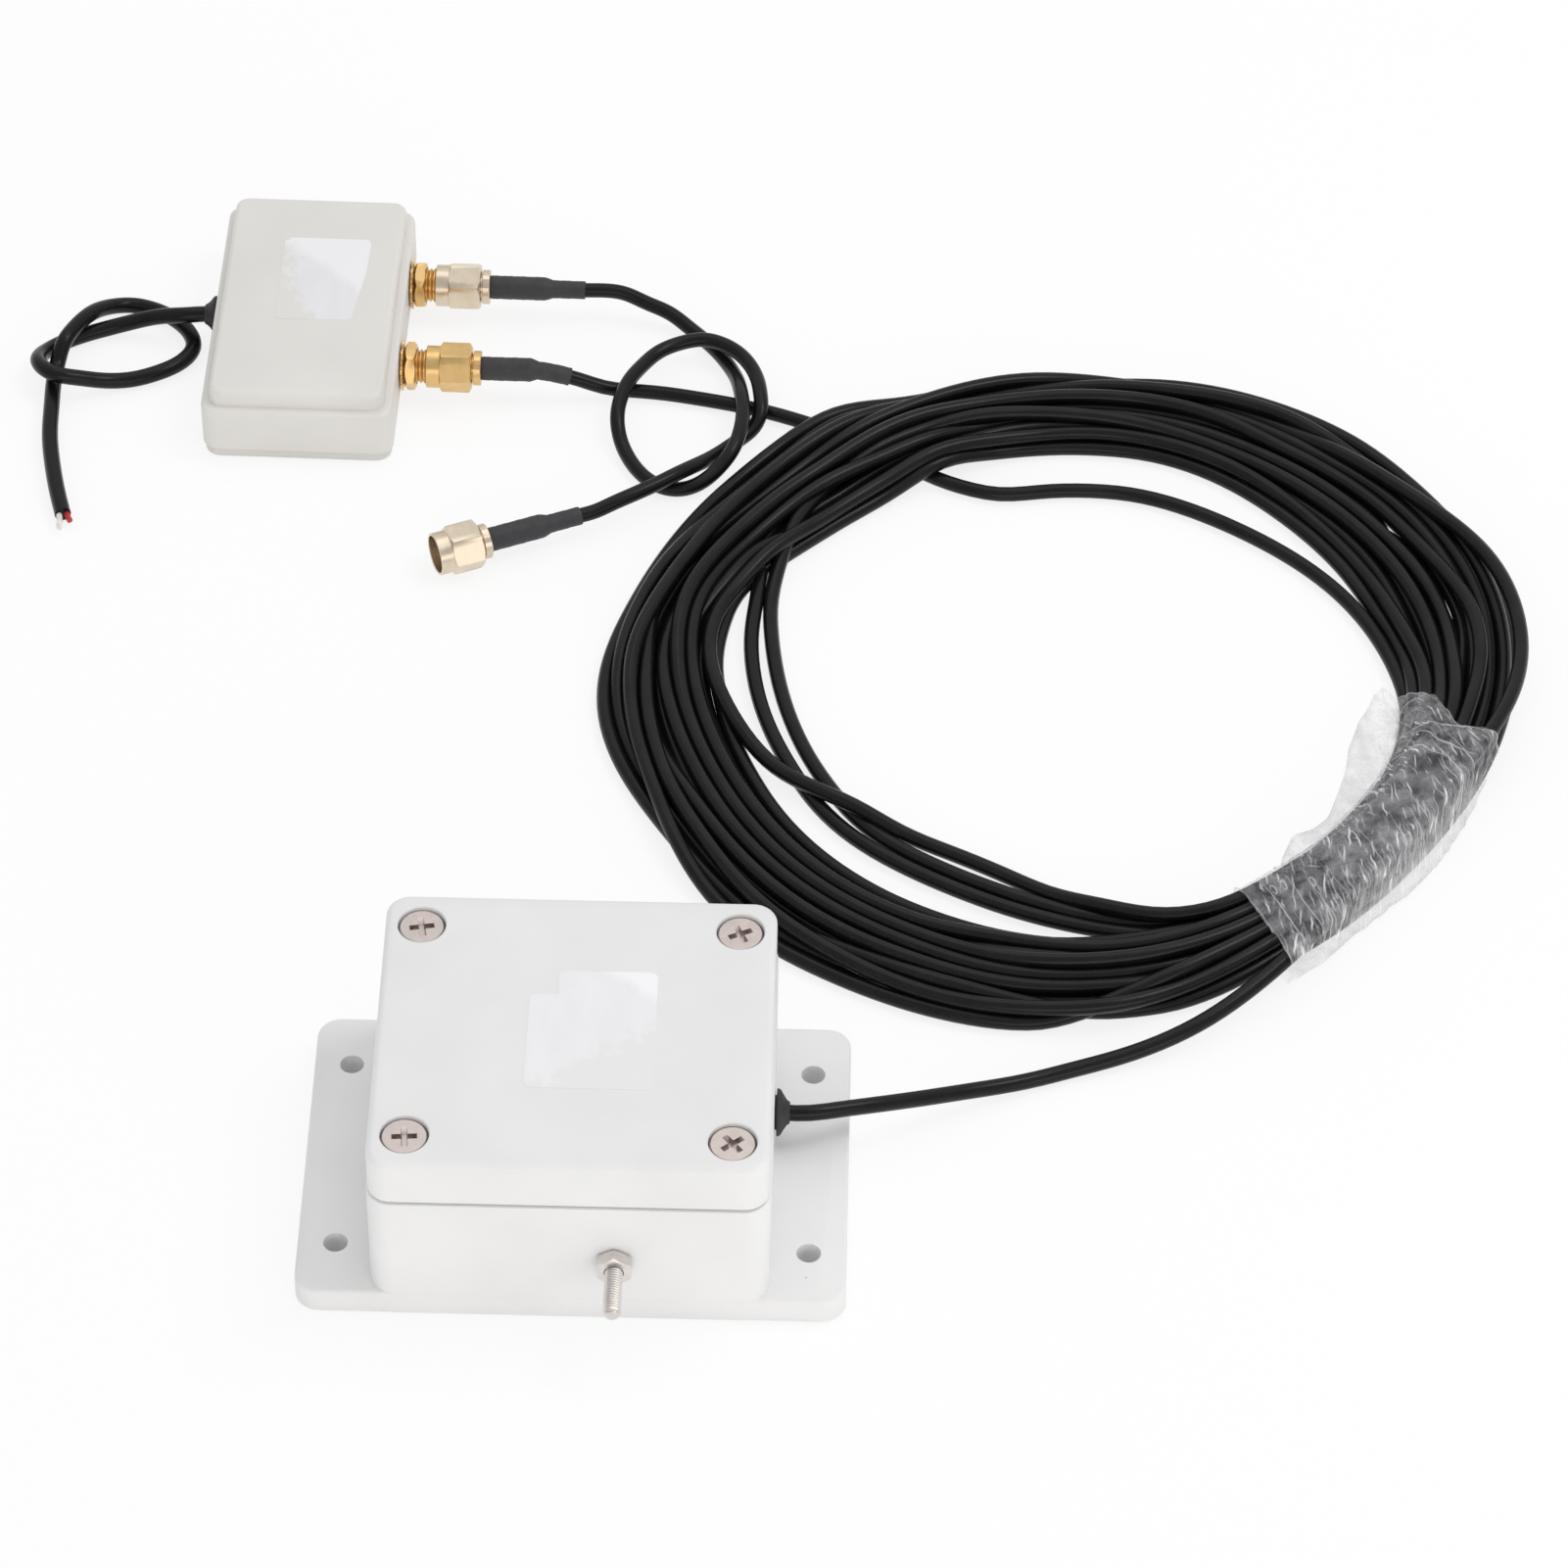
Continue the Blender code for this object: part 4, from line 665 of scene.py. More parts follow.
injector_label_corners = [
    (0.0104, 0.0160, 0.0016),
    (-0.0058, 0.0160, 0.0016),
    (-0.0058, -0.0069, 0.0016),
    (0.0084, -0.0067, 0.0010),
    (0.0101, 0.0070, 0.0016),
]
injector_film = worn_film(
    "white injector label film",
    tone=0.82,
    bare=warm_colour,
    gone_from=injector_place @ Vector((-0.0026, 0.0040, 0)),
    gone_way=injector_turn @ Vector((-0.97, -0.24, 0)),
    bright_from=injector_place @ Vector((0.0040, 0.0060, 0)),
    bright_way=injector_turn @ Vector((0.70, 0.71, 0)),
)
injector_label = label("injector_label_film", injector_label_corners, injector_label_z)
dress(fix_place(injector_label, injector_place), injector_film, "kit", "injector_label")

# Coaxial jacks
# Gold-plated brass bulkhead jacks: a threaded barrel through the wall, a toothed lock washer
# and a hexagon nut on it, a white insulator and a socket contact inside.

gold = plated_metal("gold plate", (0.80, 0.54, 0.235), 0.30)
insulator_white = mottled("white insulator", (0.80, 0.79, 0.76), 0.45, 800.0, 0.00004)
connector_across = 0.0080
jack_nut_turns = {"upper": 22, "lower": 4}
washer_points = 56
washer_notch = 0.88
barrel_stations = [
    (0.0032, 0.0023),
    (0.0082, 0.0023),
    (0.0082001, 0.0028),
    (0.0078, 0.00290),
    *reversed(thread(-0.0014, 0.0078, 0.00272, 0.00315, 0.000706)),
    (-0.0021, 0.0031),
    (-0.00211, 0.0035),
    (-0.0041, 0.0035),
]


def notched(piece, points, depth, is_notch):
    """Draws the notches of a round piece in towards its axis."""
    for corner in piece.data.vertices:
        slot = round(math.atan2(corner.co.y, corner.co.x) / (2 * math.pi) * points)
        if is_notch(slot, corner.co.z):
            corner.co.x *= depth
            corner.co.y *= depth


for where, place in jack_places.items():
    jack_place = injector_place @ place
    barrel = fix_place(turned(f"jack_barrel_{where}", barrel_stations), jack_place)
    dress(barrel, gold, "kit", f"jack_{where}")
    washer = drum(f"lock_washer_{where}", 0.0046, 0.0003, 0.0007, sides=washer_points)
    notched(washer, washer_points, washer_notch, lambda slot, z: slot % 4 in (0, 1))
    combine(washer, drum("bore", jack_hole_radius, -cut_past, cut_past), "DIFFERENCE")
    dress(fix_place(washer, jack_place), gold, "kit", f"jack_washer_{where}")
    nut = hexagon(f"wall_nut_{where}", connector_across, 0.0010, 0.0031, 0.00335)
    fix_place(nut, jack_place @ turn_z(jack_nut_turns[where]))
    dress(nut, gold, "kit", f"jack_nut_{where}")
    coat([f"jack_insulator_{where}"], insulator_white)
    coat([f"jack_contact_{where}"], gold)

# Coaxial plugs
# Gold-plated brass plugs: a hexagon coupling nut with a plain ring in front turns on the body,
# whose collar shows behind it. Two of the three are plated in a paler gold.

pale_gold = plated_metal("pale gold plate", (0.76, 0.655, 0.515), 0.30)
plug_x = 0.0224
free_place = Matrix.Translation((-0.0321, 0.1438, 0.0041)) @ turn_z(23.4)
plug_places = {
    "upper": injector_place @ Matrix.Translation((plug_x, jack_ys["upper"], jack_z)) @ along_x,
    "lower": injector_place @ Matrix.Translation((plug_x, jack_ys["lower"], jack_z)) @ along_x,
    "free": free_place @ along_x,
}
plug_finishes = {"upper": pale_gold, "lower": gold, "free": pale_gold}
plug_turns = {"upper": 25, "lower": -5, "free": 0}
collar_points = 72
collar_start = 0.0087
collar_groove = 0.98
front_ring_stations = [
    (0.0001, 0.0036),
    (0.0, 0.00375),
    (0.00012, 0.00390),
    (0.0030, 0.00390),
]
socket_stations = [(-0.001, 0.00345), (0.0066, 0.00345)]
plug_stations = [
    (0.0060, 0.0019),
    (0.0036, 0.0019),
    (0.00359, 0.0031),
    (0.0063, 0.0031),
    (0.00631, 0.0024),
    (collar_start, 0.0024),
    (0.00871, 0.0031),
    (0.0088, 0.0032),
    (0.0100, 0.0032),
    (0.0101, 0.0031),
]
for where, place in plug_places.items():
    nut = hexagon(f"coupling_nut_{where}", connector_across, 0.0024, 0.0084, 0.0027)
    combine(nut, turned("front_ring", front_ring_stations, 64), "UNION")
    combine(nut, turned("socket", socket_stations, 64), "DIFFERENCE")
    fix_place(nut, place @ turn_z(plug_turns[where]))
    dress(nut, plug_finishes[where], f"coupling_{where}", f"plug_nut_{where}")
    body = turned(f"plug_collar_{where}", plug_stations, collar_points)
    notched(body, collar_points, collar_groove, lambda slot, z: slot % 3 == 0 and z > collar_start)
    fix_place(body, place)
    dress(body, plug_finishes[where], "kit", f"plug_body_{where}")
    coat([f"plug_insulator_{where}"], insulator_white)
    coat([f"plug_pin_{where}"], gold)

# Heat-shrink sleeves
# Charcoal heat-shrink tube over each crimp, tight over the ferrule and stepping down to the
# cable. The lower one is bent towards the table.


def smooth_route(points, step):
    """Points at even steps along the natural cubic spline through a route."""
    route = np.array(points, float)
    gaps = np.linalg.norm(np.diff(route, axis=0), axis=1)
    knots = np.concatenate([[0.0], np.cumsum(gaps)])
    count = len(route)
    matrix = np.eye(count)
    right = np.zeros((count, 3))
    rises = np.diff(route, axis=0) / gaps[:, None]
    for i in range(1, count - 1):
        matrix[i, i - 1 : i + 2] = gaps[i - 1], 2 * (gaps[i - 1] + gaps[i]), gaps[i]
        right[i] = 6 * (rises[i] - rises[i - 1])
    bends = np.linalg.solve(matrix, right)
    along = np.linspace(0, knots[-1], round(knots[-1] / step) * 4 + 2)
    i = np.clip(np.searchsorted(knots, along) - 1, 0, count - 2)
    gap = gaps[i][:, None]
    a = (knots[i + 1] - along)[:, None]
    b = (along - knots[i])[:, None]
    fine = (bends[i] * a**3 + bends[i + 1] * b**3) / (6 * gap)
    fine += (route[i] / gap - bends[i] * gap / 6) * a
    fine += (route[i + 1] / gap - bends[i + 1] * gap / 6) * b
    lengths = np.concatenate([[0.0], np.cumsum(np.linalg.norm(np.diff(fine, axis=0), axis=1))])
    wanted = np.linspace(0, lengths[-1], max(2, round(lengths[-1] / step)) + 1)
    return np.stack([np.interp(wanted, lengths, fine[:, k]) for k in range(3)], axis=1)


def cable(name, points, diameter, finish, cad_nodes, radii=None, sides=4):
    """A round cable along these points, with filled ends, in place of its solids."""
    curve = bpy.data.curves.new(name, "CURVE")
    curve.dimensions = "3D"
    curve.bevel_depth = diameter / 2
    curve.bevel_resolution = sides
    curve.use_fill_caps = True
    line = curve.splines.new("POLY")
    line.points.add(len(points) - 1)
    for i, point in enumerate(points):
        line.points[i].co = (*point, 1.0)
        line.points[i].radius = 1.0 if radii is None else radii[i]
    line.use_smooth = True
    curve.materials.append(finish)
    piece = bpy.data.objects.new(name, curve)
    bpy.context.scene.collection.objects.link(piece)
    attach(piece, "kit")
    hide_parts(*cad_nodes)
    return piece


shrink = mottled("charcoal heat-shrink", (0.034, 0.033, 0.037), 0.58, 500.0, 0.00012)
sleeve_diameter = 0.0044
sleeve_length = 0.0178
crimp_start = 0.0101
sleeve_end = crimp_start + sleeve_length
# Of each sleeve: how far it drops, where it steps down to the cable, where it ends
sleeve_forms = {
    "upper": (0.0, 0.0104, sleeve_length),
    "lower": (0.0018, 0.0091, 0.0164),
    "free": (0.0, 0.0104, sleeve_length),
}
sleeve_lines = {}
for where, (drop, step, end) in sleeve_forms.items():
    holder = free_place if where == "free" else injector_place
    start = Vector((crimp_start, 0, 0)) + holder.inverted() @ plug_places[where].translation
    stops = ((0.0, 0.0), (0.0057, 0.0), (0.0099, 0.02), (sleeve_length, 1.0))
    route = [holder @ (start + Vector((x, 0, -share * drop))) for x, share in stops]
    points = smooth_route(route, 0.00025)
    points = points[: round(len(points) * end / sleeve_length)]
    along = np.linspace(0, end, len(points))
    wide = np.interp(along, [0, 0.0004, step, step + 0.0013, sleeve_length], [0.95, 1.0, 1.0, 0.775, 0.76])
    wide = wide + 0.008 * np.sin(along * 2300) + 0.006 * np.sin(along * 5100 + 1)
    sleeve_lines[where] = points
    cable(f"sleeve_{where}", points, sleeve_diameter, shrink, [f"plug_sleeve_{where}"], wide, 8)

# Feeder
# Nearly eight metres of thin black coaxial cable. From the lower plug it runs under the coil and
# along its inside, goes round seventeen loops in three loose layers, some of them slack to the
# inside, and comes off the outside of the bundle to the antenna box.


def black_jacket(name):
    """Black cable jacket: semi-matte, faintly dusty, with a soft sheen along the cable."""
    made, tree, shader = shade(name, Specular_IOR_Level=0.22)
    spot = node(tree, "TexCoord").outputs["Object"]
    dust = noise(tree, spot, 160.0, 6.0, 0.6)
    base = tones(tree, dust, (0.0045, 0.0045, 0.0052), (0.0090, 0.0090, 0.0102))
    tree.links.new(base, shader.inputs["Base Color"])
    gloss = node(tree, "MapRange", Value=dust, To_Min=0.22, To_Max=0.31)
    tree.links.new(gloss.outputs[0], shader.inputs["Roughness"])
    grain = noise(tree, spot, 1500.0, 3.0)
    surface_bump(tree, shader, grain, 0.08, 0.00008)
    return made


coax = 0.00275
coil_middle = np.array([0.0820, 0.1153])
loop_stations = 120
start_angle = -8.0
first_turn = -0.3111
last_turn = 17.20
layer_turns = 5.383
climb_turns = 0.5
loops = 3 * layer_turns + 2 * climb_turns
# The bundle's inner and outer radius in millimetres, at these angles in degrees
inner_edge = [
    (-167, 60.0), (-152, 59.8), (-134, 60.5), (-119, 60.5), (-102, 60.8), (-82, 61.2), (-71, 61.3),
    (-62, 61.0), (-52, 59.9), (-43, 58.6), (-36, 58.3), (-29, 58.7), (-21, 59.5), (-10, 60.2), (2, 60.4),
    (17, 59.6), (41, 61.4), (59, 62.8), (75, 64.6), (87, 63.6),
    (99, 62.6), (119, 59.2), (132, 59.0), (143, 59.3), (152, 60.8), (162, 62.2), (170, 64.0), (180, 62.0),
]
outer_edge = [
    (-176, 83.2), (-170, 82.8), (-161, 81.5), (-149, 81.0), (-140, 82.1), (-127, 82.8), (-120, 82.1),
    (-111, 82.4), (-102, 82.2), (-92, 81.3), (-83, 79.6), (-75, 77.5), (-68, 75.6),
    (-60, 72.8), (-52, 71.3), (-44, 70.6), (-36, 70.9), (-28, 71.4), (-20, 72.3), (-15, 73.2), (-10, 74.1),
    (-6, 74.9), (-3, 76.0), (0, 77.4), (7, 79.2), (17, 80.9), (28, 82.0), (38, 82.5), (49, 82.6), (59, 82.3),
    (68, 81.9), (76, 81.1), (83, 80.4), (90, 79.8),
    (98, 79.3), (106, 79.2), (124, 79.5), (142, 79.0), (150, 79.2), (160, 79.8), (168, 81.0), (176, 82.9),
]
# How much further in the lowest layer ends than the highest, in millimetres at these angles
lean_line = [
    (-180, 2.6), (-165, 3.6), (-150, 4.6), (-120, 5.4), (-90, 5.4), (-75, 3.0), (-62, 0.5), (-50, 0.0),
    (120, 0.0), (165, 1.6),
]
# Single loops that leave the bundle: angle in degrees, then radius and height in millimetres
run_in_line = [
    (104, 52.2, 1.4), (98, 50.6, 1.4), (90, 51.7, 1.4), (83, 53.0, 1.4), (70, 52.6, 1.4), (56, 52.1, 1.4),
    (42, 53.3, 1.4), (29, 55.3, 1.4), (17, 56.7, 1.4), (5, 58.6, 1.4), (-8, 61.0, 1.4),
]
slack_low = [
    (289, 60.6, 1.4), (279, 58.8, 1.4), (265, 55.6, 1.4), (248, 52.6, 1.4), (232, 52.6, 1.4),
    (218, 53.6, 1.4), (206, 52.7, 1.4), (190, 54.0, 1.4), (175, 56.4, 1.4), (164, 58.6, 1.4),
    (153, 61.6, 1.4), (143, 65.0, 1.4), (125, 66.0, 1.4), (95, 66.5, 1.4),
]
slack_middle = [
    (290, 60.6, 4.2), (280, 57.4, 2.6), (265, 52.3, 1.5), (248, 49.6, 1.4), (230, 49.6, 1.4),
    (214, 49.2, 1.4), (200, 49.0, 1.4), (182, 50.7, 1.4), (166, 54.2, 1.6), (159, 57.0, 2.4),
    (154, 59.7, 3.6), (144, 63.6, 5.2), (138, 64.6, 6.0), (131, 66.0, 6.6), (122, 67.9, 7.0),
    (100, 68.2, 7.4), (60, 67.4, 7.4), (0, 65.4, 7.4), (-40, 62.0, 7.4), (-58, 61.4, 7.4),
]
slack_high = [
    (289, 60.8, 7.5), (276, 55.7, 5.4), (262, 47.6, 3.0), (243, 44.6, 2.2), (223, 48.1, 4.6),
    (207, 54.6, 5.2), (197, 59.0, 6.2), (187, 61.5, 7.0), (177, 62.6, 7.5),
]
run_out_line = [
    (33, 81.6, 7.4), (20, 81.6, 7.6), (9, 81.0, 8.0), (2.8, 80.0, 8.4), (-3.7, 78.4, 9.0), (-9.5, 75.6, 9.4),
    (-13.3, 73.6, 9.6), (-18, 72.0, 9.7), (-25, 70.6, 9.8), (-40, 70.0, 9.6), (-50, 71.8, 9.0),
    (-57, 74.4, 7.6), (-62.7, 77.0, 6.2), (-66.3, 78.7, 5.0), (-72.4, 82.1, 4.0), (-78.2, 85.2, 3.0),
    (-80, 86.2, 2.7),
]
# On which turn each of them lies, and how strongly it is held to its line
own_lines = (
    (-1, run_in_line, 0.5),
    (0, slack_low, 0.16),
    (11, slack_middle, 0.16),
    (12, slack_high, 0.16),
    (16, run_out_line, 0.32),
)
stray = np.random.default_rng(7)


def wound_out(turns):
    """How far out in the bundle a loop lies, from 0 to 1, and on which layer, this many turns in."""
    turns = min(max(turns, 0.0), loops)
    layer = 0
    while turns > layer_turns and layer < 2:
        turns -= layer_turns
        if turns <= climb_turns:
            return float(layer % 2 == 0), layer + turns / climb_turns
        turns -= climb_turns
        layer += 1
    out = min(turns / layer_turns, 1.0)
    return (out if layer % 2 == 0 else 1.0 - out), float(layer)


def evened(values, share):
    """Bending stiffness: each point moves towards its neighbours on the cable."""
    middle = (values[:-2] + values[2:]) / 2
    values[1:-1] += share * (middle - values[1:-1])


count = round((last_turn - first_turn) * loop_stations) + 1
turns = first_turn + np.arange(count) / loop_stations
angles = start_angle - 360.0 * turns
wound = np.array([wound_out(t) for t in turns])
inside, outside = [
    np.interp(angles, *np.array(edge).T, period=360) * 0.001 for edge in (inner_edge, outer_edge)
]
lean = np.interp(angles, *np.array(lean_line).T, period=360) * 0.001
outside = outside - lean * (1 - wound[:, 1] / 2)
target = inside + wound[:, 0] * (outside - inside)
roomy = np.clip((outside - inside - 0.0160) / 0.0045, 0.0, 1.0)
for cycles in (0.31, 0.47, 0.83, 1.13, 1.71, 2.37):
    wave = np.sin(2 * math.pi * (cycles * turns + stray.random()))
    target = target + roomy * 0.0022 / (0.6 + cycles) * wave
height = coax / 2 + 0.0004 + wound[:, 1] * 0.0027
pull = 0.012 + 0.09 * (1 - roomy)
lowest = np.full(count, coax / 2)
for turn, line, own_pull in own_lines:
    place, line_radius, line_height = np.array(line).T
    passing = turn + (360.0 + start_angle - place) / 360.0
    near = (turns >= passing[0] - 1e-6) & (turns <= passing[-1] + 1e-6)
    target[near] = np.interp(turns[near], passing, line_radius) * 0.001
    height[near] = np.interp(turns[near], passing, line_height) * 0.001
    pull[near] = own_pull
    if line is run_out_line:
        lowest[near] = height[near]
for _ in range(14):
    for values in (target, height, lowest):
        evened(values, 0.5)
run_in = turns < 0
rows = math.ceil(count / loop_stations)
padding = rows * loop_stations - count
real = np.pad(np.ones(count, bool), (0, padding)).reshape(rows, loop_stations)
radius = target.copy()
# The feeder's first run lies under the loops here, so they rise over it in a long low hump
under_from = np.array([0.0340, 0.1840])
under_to = np.array([0.0600, 0.1700])
under_way = (under_to - under_from) / np.linalg.norm(under_to - under_from)
hump_width = 0.0075
hump_height = 0.0029


def floor_under(radius):
    """The lowest height that each point of the loops can have."""
    places = np.stack([radius * np.cos(np.radians(angles)), radius * np.sin(np.radians(angles))], axis=1)
    offset = places + coil_middle - under_from
    along = offset @ under_way
    aside = np.abs(offset @ np.array([-under_way[1], under_way[0]]))
    crossing = (along > -0.012) & (along < 0.045) & ~run_in
    over = np.where(crossing, np.exp(-((aside / hump_width) ** 2)), 0.0)
    return coax / 2 + hump_height * over


settle_steps = 460
stiffness = 0.45
sinking = 0.00008
skin = 0.00004
push_share = 0.36
play = 0.0004
far_away = 9.0
for step in range(settle_steps):
    slack = radius - target
    for values in (slack, slack, height, height):
        evened(values, stiffness)
    radius = target + slack * (1 - pull)
    height -= sinking
    grid_r, grid_z = [
        np.pad(values, (0, padding), constant_values=far_away).reshape(rows, loop_stations)
        for values in (radius, height)
    ]
    push_r = np.zeros_like(grid_r)
    push_z = np.zeros_like(grid_z)
    for apart in range(1, rows):
        dr = grid_r[apart:] - grid_r[:-apart]
        dz = grid_z[apart:] - grid_z[:-apart]
        distance = np.sqrt(dr * dr + dz * dz) + 1e-9
        overlap = np.clip(coax + skin - distance, 0, None) * (real[apart:] & real[:-apart])
        share = push_share * overlap / distance
        push_r[apart:] += share * dr
        push_r[:-apart] -= share * dr
        push_z[apart:] += share * dz
        push_z[:-apart] -= share * dz
    radius = radius + push_r.ravel()[:count] * np.where(pull > 0.4, 0.2, 1.0)
    radius = np.clip(radius, np.minimum(inside, target) - play, np.maximum(outside, target) + play)
    height = height + push_z.ravel()[:count] * np.where(run_in, 0.0, 1.0)
    height = np.maximum(height, np.maximum(floor_under(radius), lowest))


def round_coil(radius, angle, height):
    """Points at these radii, angles and heights round the coil's middle."""
    turned_at = np.radians(angle)
    x = coil_middle[0] + radius * np.cos(turned_at)
    y = coil_middle[1] + radius * np.sin(turned_at)
    return np.stack([x, y, height], axis=-1)


def laid(route, step, diameter):
    """Points along a cable's route, none so low that the cable sinks into the table."""
    points = smooth_route(route, step)
    points[:, 2] = np.maximum(points[:, 2], diameter / 2 + 0.00002)
    return points


feeder_step = 0.0024
loops_at = round_coil(radius, angles, height)
run_to_injector = [
    tuple(sleeve_lines["lower"][-13]),
    tuple(sleeve_lines["lower"][-1]),
    (-0.0026, 0.1914, 0.0023), (0.0012, 0.1917, 0.0016), (0.0060, 0.1915, 0.0014),
    (0.0125, 0.1904, 0.0014), (0.0217, 0.1883, 0.0014), (0.0268, 0.1868, 0.0014),
    (0.0340, 0.1840, 0.0014), (0.0430, 0.1796, 0.0014), (0.0510, 0.1745, 0.0014),
    (0.0592, 0.1692, 0.0014), (0.0648, 0.1669, 0.0014),
]
run_to_antenna = [
    (0.0895, 0.0277, 0.0018), (0.0820, 0.0250, 0.0015), (0.0740, 0.0220, 0.0016),
    (0.0650, 0.0182, 0.0032), (0.0560, 0.0134, 0.0062), (0.0480, 0.0092, 0.0090),
    (0.0420, 0.0067, 0.0104), (0.0378, 0.0054, 0.0110), (0.0333, 0.0054, 0.0110),
]
jacket = black_jacket("black coaxial jacket")
feeder_route = [*run_to_injector, *map(tuple, loops_at[::3]), *run_to_antenna]
feeder_points = laid(feeder_route, feeder_step, coax)
feeder_solids = ["feeder_coil", "feeder_run_antenna", "feeder_run_injector"]
feeder = cable("feeder", feeder_points, coax, jacket, feeder_solids)
feeder_tail_route = [
    (0.02735, 0.0054, 0.0110), (0.0246, 0.0054, 0.0110), (0.0205, 0.0056, 0.0115),
    (0.01175, 0.00815, 0.01078),
]
cable("feeder_inner_tail", smooth_route(feeder_tail_route, 0.0012), coax, jacket, ["feeder_tail"])

# Patch cable
# A short length of the same coaxial cable from the upper plug to the free plug, tied in one
# loose overhand knot to keep it short.

patch_step = 0.0009
cable_sunk = 0.0040
upper_end = injector_place @ Vector((plug_x + sleeve_end, jack_ys["upper"], jack_z))
upper_way = injector_turn @ Vector((1, 0, 0))
free_end = free_place @ Vector((sleeve_end, 0, 0))
free_way = free_place.to_3x3() @ Vector((1, 0, 0))
patch_route = [
    tuple(upper_end - upper_way * cable_sunk),
    tuple(upper_end),
    (-0.0007, 0.2140, 0.0059), (0.0035, 0.2129, 0.0046), (0.0077, 0.2116, 0.0034),
    (0.0113, 0.2094, 0.0020), (0.0145, 0.2063, 0.0015), (0.0176, 0.2021, 0.0015),
    (0.0202, 0.1965, 0.0022), (0.0217, 0.1889, 0.0045), (0.0223, 0.1831, 0.0052),
    (0.0219, 0.1773, 0.0052), (0.0204, 0.1724, 0.0044), (0.0181, 0.1694, 0.0030),
    (0.0150, 0.1666, 0.0020), (0.0115, 0.1653, 0.0015), (0.0077, 0.1660, 0.0014),
    (0.0044, 0.1688, 0.0014), (0.0014, 0.1738, 0.0015), (-0.0003, 0.1784, 0.0024),
    (-0.0008, 0.1817, 0.0038), (-0.0003, 0.1863, 0.0047), (0.0010, 0.1907, 0.0049),
    (0.0034, 0.1955, 0.0046), (0.0065, 0.1996, 0.0045), (0.0106, 0.2019, 0.0047),
    (0.0144, 0.2026, 0.0049), (0.0185, 0.2012, 0.0049), (0.0221, 0.1978, 0.0048),
    (0.0245, 0.1928, 0.0047), (0.0254, 0.1876, 0.0047), (0.0255, 0.1843, 0.0038),
    (0.0244, 0.1816, 0.0024), (0.0219, 0.1791, 0.0016), (0.0187, 0.1758, 0.0015),
    (0.0151, 0.1710, 0.0030), (0.0112, 0.1663, 0.0047), (0.0074, 0.1630, 0.0050),
    (0.0035, 0.1603, 0.0049), (-0.0009, 0.1577, 0.0045),
    tuple(free_end + free_way * 0.0025),
    tuple(free_end),
    tuple(free_end - free_way * cable_sunk),
]
patch_points = laid(patch_route, patch_step, coax)
patch = cable("patch_lead", patch_points, coax, jacket, ["patch_cable"], sides=6)

# Power cable
# A round two-core cable from the injector's grommet, knotted once, its far end cut with a red
# and a white core showing.

supply = 0.0030
power_step = 0.0009
supply_end = injector_place @ Vector((-0.0200, supply_y, supply_z))
supply_way = injector_turn @ Vector((-1, 0, 0))
power_route = [
    tuple(supply_end - supply_way * 0.0015),
    tuple(supply_end),
    (-0.0821, 0.2049, 0.0062), (-0.0869, 0.2055, 0.0052), (-0.0918, 0.2060, 0.0034),
    (-0.0969, 0.2056, 0.0019), (-0.1015, 0.2038, 0.0016), (-0.1052, 0.2015, 0.0016),
    (-0.1079, 0.1978, 0.0026), (-0.1084, 0.1924, 0.0048), (-0.1054, 0.1888, 0.0054),
    (-0.1009, 0.1890, 0.0042), (-0.0965, 0.1904, 0.0024), (-0.0916, 0.1917, 0.0016),
    (-0.0868, 0.1937, 0.0016), (-0.0827, 0.1968, 0.0016), (-0.0807, 0.2010, 0.0016),
    (-0.0817, 0.2050, 0.0016), (-0.0845, 0.2085, 0.0016), (-0.0887, 0.2113, 0.0016),
    (-0.0932, 0.2125, 0.0016), (-0.0973, 0.2104, 0.0029), (-0.1006, 0.2056, 0.0049),
    (-0.1029, 0.2010, 0.0054), (-0.1044, 0.1974, 0.0049), (-0.1052, 0.1953, 0.0029),
    (-0.1056, 0.1917, 0.0019), (-0.1054, 0.1842, 0.0017), (-0.1050, 0.1769, 0.0016),
    (-0.1037, 0.1685, 0.0016), (-0.1020, 0.1608, 0.0016), (-0.1004, 0.1549, 0.0016),
]
power_points = laid(power_route, power_step, supply)
power = cable("supply_lead", power_points, supply, jacket, ["power_cable"], sides=6)
cut_end = Vector(power_points[-1])
cut_way = (cut_end - Vector(power_points[-3])).normalized()
across = cut_way.cross(Vector((0, 0, 1)))
core_diameter = 0.0011
core_aside = 0.00072
core_sunk = 0.0012
core_splay = 55
cores = {
    "white": (1, 0.0034, mottled("white wire insulation", (0.82, 0.80, 0.78), 0.4, 900.0, 0.00004)),
    "red": (-1, 0.0020, mottled("red core insulation", (0.50, 0.03, 0.03), 0.4, 900.0, 0.00004)),
}
for colour, (side, reach, finish) in cores.items():
    core_start = cut_end + across * side * core_aside - cut_way * core_sunk
    core_points = []
    for along in np.linspace(0, reach + core_sunk, 16):
        bare = max(0.0, along - core_sunk)
        core_points.append(core_start + cut_way * along + across * side * core_splay * bare**2)
    cable(f"core_{colour}", core_points, core_diameter, finish, [f"power_wire_{colour}"])

# Stretch film
# Several turns of clear stretch film wound round the bundle to keep the coil together. It is
# creased across the cables, stands off them on the outside, lies loose on the table on the
# inside and is torn at its upper end.


